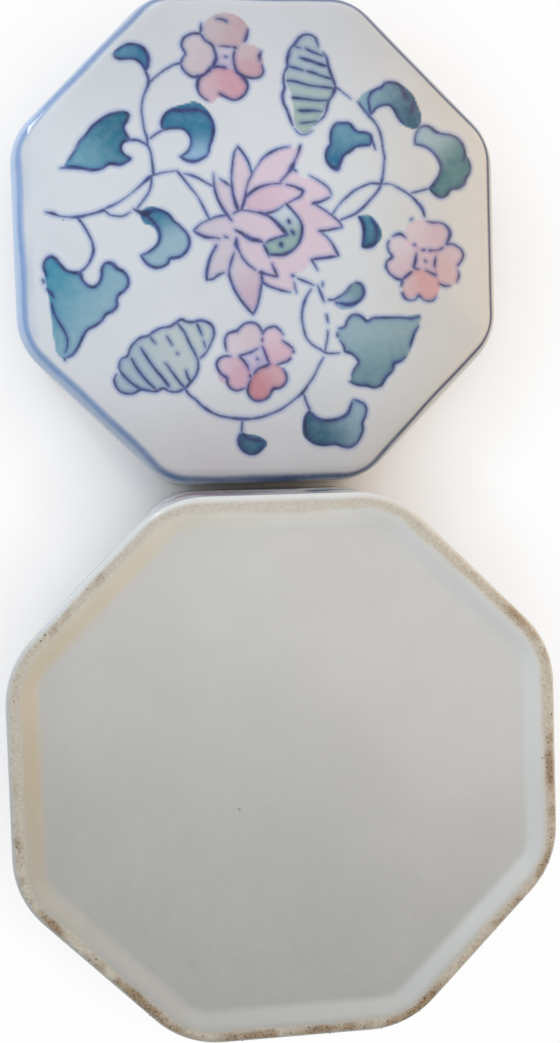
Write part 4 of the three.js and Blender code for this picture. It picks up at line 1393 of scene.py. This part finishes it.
upper, lower = upperStations(), footStations()
baseWalls = ringPoints(upper + lower)
wallLow, wallTop = lower[0][1], upper[-1][1]
stampStrokes, stampWashes = stampedWall()
wallStrokes = [brushStroke(stroke) for stroke in [*wallLines(), wallVine(), *stampStrokes]]
wallWashes = [smoothWash(wash, wallPaint["washStep"]) for wash in stampWashes]
cellSize, edgeGap = sheets["wall"]
wallCells = paintGrid((0, wallLow), (wallLong, wallTop), cellSize, busyPlaces(wallStrokes, wallWashes))
leastPlace, mostPlace = np.array([0, wallLow]) + edgeGap, np.array([wallLong, wallTop]) - edgeGap
wallCells = wallCells[((wallCells > leastPlace) & (wallCells < mostPlace)).all(1)]
floorFlat, _, floorCorner = upper[0]
floorCells = sheetCells("hidden", floorFlat, floorCorner)
panelFlat, _, panelCorner = lower[-1]
panelCells = sheetCells("underside", panelFlat, panelCorner)

# Edge of the unrolled wall, and which point of the whole mesh each of its points and cells is
seamUp = np.linspace(wallLow, wallTop, wallPaint["seamPoints"])[1:-1]
ringAlong = np.arange(columns + 1) / perSide * wallPaint["side"]
wallEdge = np.concatenate([
    np.column_stack([ringAlong, np.full(columns + 1, wallLow)]),
    np.column_stack([np.full(len(seamUp), wallLong), seamUp]),
    np.column_stack([ringAlong[::-1], np.full(columns + 1, wallTop)]),
    np.column_stack([np.zeros(len(seamUp)), seamUp[::-1]]),
])
lowerRing, upperRing, panelRing = len(upper) * columns, (len(upper) - 1) * columns, len(baseWalls) - columns
seamFirst = len(baseWalls)
cellFirst = seamFirst + len(seamUp)
floorFirst = cellFirst + len(wallCells)
panelFirst = floorFirst + len(floorCells)
columnLoop = (np.arange(columns + 1) - perSide // 2) % columns
seamLine = seamFirst + np.arange(len(seamUp))
pointAt = np.concatenate([
    lowerRing + columnLoop, seamLine, upperRing + columnLoop[::-1], seamLine[::-1],
    cellFirst + np.arange(len(wallCells)),
])
wallFaces = pointAt[fillSheet(wallEdge, wallCells)]
floorFaces = sheetFaces(baseWalls, 0, floorCells, floorFirst)
panelFaces = sheetFaces(baseWalls, panelRing, panelCells, panelFirst)[:, ::-1]
baseFaces = [
    *ringFaces(len(upper)), *ringFaces(len(lower), lowerRing),
    *wallFaces.tolist(), *floorFaces.tolist(), *panelFaces.tolist(),
]
basePoints = np.concatenate([
    baseWalls,
    onWall(np.column_stack([np.zeros(len(seamUp)), seamUp])),
    onWall(wallCells),
    np.column_stack([floorCells, np.full(len(floorCells), floorZ)]),
    np.column_stack([panelCells, undersideAt(flatAt(panelCells, panelCorner / panelFlat))]),
])

# Foot ring. The glaze was wiped off its crest by hand, which left bare biscuit that is stained. Here too are
# painted warm light and painted light on the foot's slope, and painted shade on the underside. Lists hold a
# value for each side, counter-clockwise from +X as the base stands upside down.
wiped = {
    "starts": (0.35, 0.2, 0.9, 0.5, 0.5, 0.4, 0.3, 0.3),  # how far in from the wall the bare band starts
    "startWander": ((60, 0.6), (160, 0.4)),  # steps round the foot, and share
    "ends": (1.9, 1.8, 2.5, 1.8, 2.0, 1.8, 1.8, 1.7),
    "endWander": ((50, 0.8), (180, 0.5)),
    "uneven": 0.12,
    "soft": 0.4,
    "rough": 0.04,
    "worn": (1.0, 1.0, 0.6, 0.9, 1.0, 1.0, 1.0, 1.0),  # how clean of glaze the band is
    "stains": (0.95, 0.55, 0.2, 0.5, 0.45, 1.05, 1.2, 0.7),
    "patch": 0.5,
    "patchWander": ((60, 0.2), (200, 0.2)),
    "patchRange": (0.15, 1.2),
    "smudges": (  # turn, half width in turns, how dirty
        (3.82, 0.05, 0.5), (4.68, 0.12, 1.0), (4.95, 0.08, 0.4), (5.2, 0.12, 0.45), (5.7, 0.16, 0.5),
        (6.12, 0.1, 0.35), (6.62, 0.12, 0.5), (7.45, 0.07, 0.45), (7.9, 0.08, 0.4),
    ),
    "dirtDeep": (0.3, 2.0),  # how far in from its edge the band is dirty
    "dirtFade": 0.75,
    "paintedWarmLight": (0.0, 0.0, 0.15, 0.8, 1.0, 0.05, 0.0, 0.0),  # painted warm light: a warm tint on the slope, on the sides that face the warm lamp
    "paintedWarmColour": "fff0d7",
    "paintedWarmSpan": ((-0.15, 0.15), (0.5, 1.0)),  # shares of the slope over which it comes and goes
    "paintedSlopeLight": (0.36, 0.15, 0.75, 0.4, 0.36, 0.25, 0.55, 1.0),  # painted light: the glaze on the slope's foot is lightened by the tint below, more on some sides
    "pool": (1.28, 1.31, 1.34),
    "paintedSlopeSpan": ((-0.2, 0.3), (0.6, 1.0)),
    "paintedUndersideShade": "d1d1d0",  # painted shade: grey over the hollow underside's glaze, growing towards one end
    "undersideShadeWay": (-0.35, 0.9),
    "undersideShadeSpan": (-32, 40),
    "undersideShadeHigh": 2.0,  # the wall above this height stays white
    "seatBare": (0.3, 0.1),  # below the lid's seat, where its glaze ends
}


def uneven(steps):
    marks = random.normal(size=steps)
    return np.interp(columnTurns, np.arange(steps + 1) * sides / steps, [*marks, marks[0]])


def wander(parts):
    return sum(share * uneven(steps) for steps, share in parts)


def onSlope(span, values):
    comes, goes = span
    return smoothStep(*comes, downSlope) * (1 - smoothStep(*goes, downSlope)) * bySide(values, footTurns)


footTurns = -columnTurns  # the base is turned over, so its sides run the other way
starts = bySide(wiped["starts"], footTurns) + wiped["uneven"] * wander(wiped["startWander"])
ends = bySide(wiped["ends"], footTurns) + wiped["uneven"] * wander(wiped["endWander"])
lowerFlat = np.array([flat for flat, z, corner in lower])[:, None]
downSlope = (crest - lowerFlat) / baseShape["slope"]
inFrom = wallAt(baseShape["footRound"]) - lowerFlat
soft = wiped["soft"]
bareFoot = smoothStep(-soft, soft, inFrom - starts) * smoothStep(-soft, soft, ends - inFrom)
footRows = slice(lowerRing, len(baseWalls))
basePoints[footRows, 2] += (wiped["rough"] * bareFoot * random.random(bareFoot.shape)).ravel()

baseInk = np.full(len(basePoints), -brush["reach"])
baseTint = np.ones((len(basePoints), 3))
baseBare = np.zeros(len(basePoints))
baseStain = np.zeros(len(basePoints))
onCells = slice(cellFirst, floorFirst)
baseInk[onCells], baseTint[onCells] = paintSheet(wallCells, wallStrokes, wallWashes)
# painted warm light on the foot's slope
paintedWarmTint = tintTo(linear(wiped["paintedWarmColour"]), onSlope(wiped["paintedWarmSpan"], wiped["paintedWarmLight"]))
# painted light on the foot of the slope
paintedSlopeTint = tintTo(np.array(wiped["pool"]), onSlope(wiped["paintedSlopeSpan"], wiped["paintedSlopeLight"]))
baseTint[footRows] = (paintedWarmTint * paintedSlopeTint).reshape(-1, 3)
# painted shade, darker towards one end of the hollow underside
undersideShade = smoothStep(*wiped["undersideShadeSpan"], basePoints[:, :2] @ wiped["undersideShadeWay"])
baseTint *= tintTo(linear(wiped["paintedUndersideShade"]), undersideShade * (basePoints[:, 2] < wiped["undersideShadeHigh"]))
baseBare[footRows] = (bareFoot * bySide(wiped["worn"], footTurns)).ravel()
patches = np.clip(wiped["patch"] + wander(wiped["patchWander"]), *wiped["patchRange"])
for turn, wide, dirt in wiped["smudges"]:
    away = np.abs((footTurns - turn + sides / 2) % sides - sides / 2)
    patches += dirt * (1 - smoothStep(0, wide, away))
edgeDirt = 1 - wiped["dirtFade"] * smoothStep(*wiped["dirtDeep"], inFrom - starts)
dirty = np.clip(bySide(wiped["stains"], footTurns) * patches * edgeDirt, 0, 1)
baseStain[footRows] = (np.sqrt(bareFoot) * dirty).ravel()
upperHigh = np.array([z for flat, z, corner in upper])
seatRows = np.arange(len(upper)) >= len(upper) - baseRows["lip"] - 3  # seat and lip
seatBare = smoothStep(*(baseShape["height"] - below for below in wiped["seatBare"]), upperHigh) * seatRows
baseBare[:lowerRing] = np.repeat(seatBare, columns)
turnedOver = basePoints * (1, -1, -1) + (baseMiddle[0], baseMiddle[1], baseHigh[2])
paintedBase = shellObject(
    "painted_base", turnedOver, baseFaces,
    {"ink": baseInk, "washAndShadeTint": baseTint, "bare": baseBare, "stain": baseStain},
    glazedPorcelain("glazed porcelain, base", baseLook),
)
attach(paintedBase, "base")
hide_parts("base")
print("base:", len(basePoints), "points,", len(baseFaces), "faces,", len(wallStrokes), "strokes")

# Kiln grit stuck in the bare crest of the foot
grit = {
    "perSquareMetre": 550000.0,
    "smallest": 0.04,
    "largest": 0.12,
    "seed": 5,
    "turn": 6.28,  # radians at most, about each axis
    "leastStain": 0.2,  # where the crest is cleaner there is none
    "colour": "4a3d30",
    "rough": 0.8,
}


# Sintered sand: matt dark brown grains
def kilnGrit():
    material = blankMaterial("kiln grit")
    tree = material.node_tree
    surface = addNode(tree, "ShaderNodeBsdfPrincipled", {
        "Base Color": rgba(grit["colour"]), "Roughness": grit["rough"],
    })
    addNode(tree, "ShaderNodeOutputMaterial", {"Surface": surface.outputs["BSDF"]})
    return material


def gritTree():
    tree = bpy.data.node_groups.new("scattered grit", "GeometryNodeTree")
    for name, kind in (
        ("Crest", "Geometry"), ("Density", "Float"), ("Smallest", "Float"), ("Largest", "Float"),
        ("Seed", "Int"), ("Material", "Material"),
    ):
        tree.interface.new_socket(name, in_out="INPUT", socket_type="NodeSocket" + kind)
    tree.interface.new_socket("Grit", in_out="OUTPUT", socket_type="NodeSocketGeometry")
    given = addNode(tree, "NodeGroupInput").outputs
    points = addNode(tree, "GeometryNodeDistributePointsOnFaces", {
        "Mesh": given["Crest"], "Density": given["Density"], "Seed": given["Seed"],
    })
    grain = addNode(tree, "GeometryNodeMeshIcoSphere", {"Radius": 1.0, "Subdivisions": 1})
    size = addNode(tree, "FunctionNodeRandomValue", {  # inputs 2 and 3 and output 1 are its numbers
        2: given["Smallest"], 3: given["Largest"], "Seed": given["Seed"],
    })
    turn = addNode(tree, "FunctionNodeRandomValue", {  # input 1 and output 0 are its vectors
        1: [grit["turn"]] * 3, "Seed": given["Seed"],
    }, data_type="FLOAT_VECTOR")
    placed = addNode(tree, "GeometryNodeInstanceOnPoints", {
        "Points": points.outputs["Points"], "Instance": grain.outputs["Mesh"],
        "Rotation": turn.outputs[0], "Scale": size.outputs[1],
    })
    solid = addNode(tree, "GeometryNodeRealizeInstances", {"Geometry": placed.outputs["Instances"]})
    dressed = addNode(tree, "GeometryNodeSetMaterial", {
        "Geometry": solid.outputs["Geometry"], "Material": given["Material"],
    })
    addNode(tree, "NodeGroupOutput", {"Grit": dressed.outputs["Geometry"]})
    return tree


def scatterGrit():
    quads = np.array(ringFaces(len(lower), lowerRing))
    stain = baseStain[quads].mean(1)
    kept = quads[(stain > grit["leastStain"]) & (random.random(len(quads)) < stain)]
    used, corners = np.unique(kept, return_inverse=True)
    carrier = shellObject("grit_carrier", turnedOver[used], corners.reshape(-1, 4).tolist(), {}, kilnGrit())
    modifier = carrier.modifiers.new("grit", "NODES")
    modifier.node_group = gritTree()
    given = {
        "Density": grit["perSquareMetre"],
        "Smallest": grit["smallest"] * mm,
        "Largest": grit["largest"] * mm,
        "Seed": grit["seed"],
        "Material": carrier.data.materials[0],
    }
    for item in modifier.node_group.interface.items_tree:
        if item.name in given:
            modifier[item.identifier] = given[item.name]
    graph = bpy.context.evaluated_depsgraph_get()
    mesh = bpy.data.meshes.new_from_object(carrier.evaluated_get(graph))
    mesh.name = "foot_grit"
    bpy.data.objects.remove(carrier)
    return addObject("foot_grit", mesh)


footGrit = scatterGrit()
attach(footGrit, "base")
print("grit:", len(footGrit.data.polygons), "faces")

# Plain pale table and a soft studio: cool from the left, warm from the right, and a strip for the lid's gleam
studio = {
    "table": "f6f6f6",
    "tableHalf": 3000.0,
    "tableLow": 0.03,  # below the pieces' rims, so that no faces share a plane
    "tableWhite": 0.97,  # how far the open table is lifted to white where it is seen
    "shadowReach": 22.0,  # millimetres beside the pieces in which the table keeps its shadows
    "shadeFrom": 0.2,  # openness below which the table isn't lifted at all
    "world": ("f4f6f9", 0.56),
    "wall": "fdfdfd",
    "lamps": [  # place and aim in millimetres, width, height, watts, colour
        ((-230, 280, 190), (0, 20, 20), 400, 400, 0.67, "dceaff"),
        ((320, 110, 230), (0, 10, 20), 420, 420, 0.75, "ffd6a6"),
        ((-164, 220, 150), (0, 20, 140), 15, 150, 0.11, "ffffff"),
    ],
}


# 1 for what the camera sees, straight or in the glaze, and 0 for what only lights the pieces
def seenByCamera(tree):
    ray = addNode(tree, "ShaderNodeLightPath").outputs
    seen = ray["Is Camera Ray"]
    for kind in ("Is Glossy Ray", "Is Transmission Ray"):
        seen = addNode(tree, "ShaderNodeMath", {0: seen, 1: ray[kind]}, operation="MAXIMUM").outputs[0]
    return seen


# Matt white paper, white where it lies open to view and shaded beside the porcelain
def whitePaper():
    material = blankMaterial("matt white paper")
    tree = material.node_tree
    paper = addNode(tree, "ShaderNodeBsdfDiffuse", {"Color": rgba(studio["table"])})
    white = addNode(tree, "ShaderNodeEmission", {"Strength": 1.0})
    openness = addNode(tree, "ShaderNodeAmbientOcclusion", {"Distance": studio["shadowReach"] * mm})
    lifted = addNode(tree, "ShaderNodeMapRange", {
        "Value": openness.outputs["AO"], "From Min": studio["shadeFrom"], "To Max": studio["tableWhite"],
    })
    share = addNode(tree, "ShaderNodeMath", {
        0: lifted.outputs["Result"], 1: seenByCamera(tree),
    }, operation="MULTIPLY")
    mixed = addNode(tree, "ShaderNodeMixShader", {
        0: share.outputs[0], 1: paper.outputs[0], 2: white.outputs[0],
    })
    addNode(tree, "ShaderNodeOutputMaterial", {"Surface": mixed.outputs[0]})
    return material


def layTable():
    half, low = studio["tableHalf"] * mm, -studio["tableLow"] * mm
    mesh = bpy.data.meshes.new("table")
    corners = [(-half, -half, low), (half, -half, low), (half, half, low), (-half, half, low)]
    mesh.from_pydata(corners, [], [(0, 1, 2, 3)])
    mesh.materials.append(whitePaper())
    table = addObject("table", mesh)


def hangLamps():
    for place, aim, wide, tall, watts, colour in studio["lamps"]:
        lamp = bpy.data.lights.new("softbox", "AREA")
        lamp.shape = "RECTANGLE"
        lamp.size, lamp.size_y = wide * mm, tall * mm
        lamp.energy = watts
        lamp.color = linear(colour)
        turn = (Vector(aim) - Vector(place)).to_track_quat("-Z", "Y").to_matrix().to_4x4()
        holder = addObject("softbox", lamp)
        holder.matrix_world = Matrix.Translation(Vector(place) * mm) @ turn


def lightWorld():
    world = bpy.data.worlds.new("studio")
    world.use_nodes = True
    tree = world.node_tree
    tree.nodes.clear()
    colour, strength = studio["world"]
    sky = addNode(tree, "ShaderNodeBackground", {"Color": rgba(colour), "Strength": strength})
    wall = addNode(tree, "ShaderNodeBackground", {"Color": rgba(studio["wall"])})
    both = addNode(tree, "ShaderNodeMixShader", {
        0: seenByCamera(tree), 1: sky.outputs[0], 2: wall.outputs[0],
    })
    addNode(tree, "ShaderNodeOutputWorld", {"Surface": both.outputs[0]})
    bpy.context.scene.world = world


layTable()
hangLamps()
lightWorld()
bpy.context.scene.view_settings.view_transform = "Standard"
print("table and studio ready")
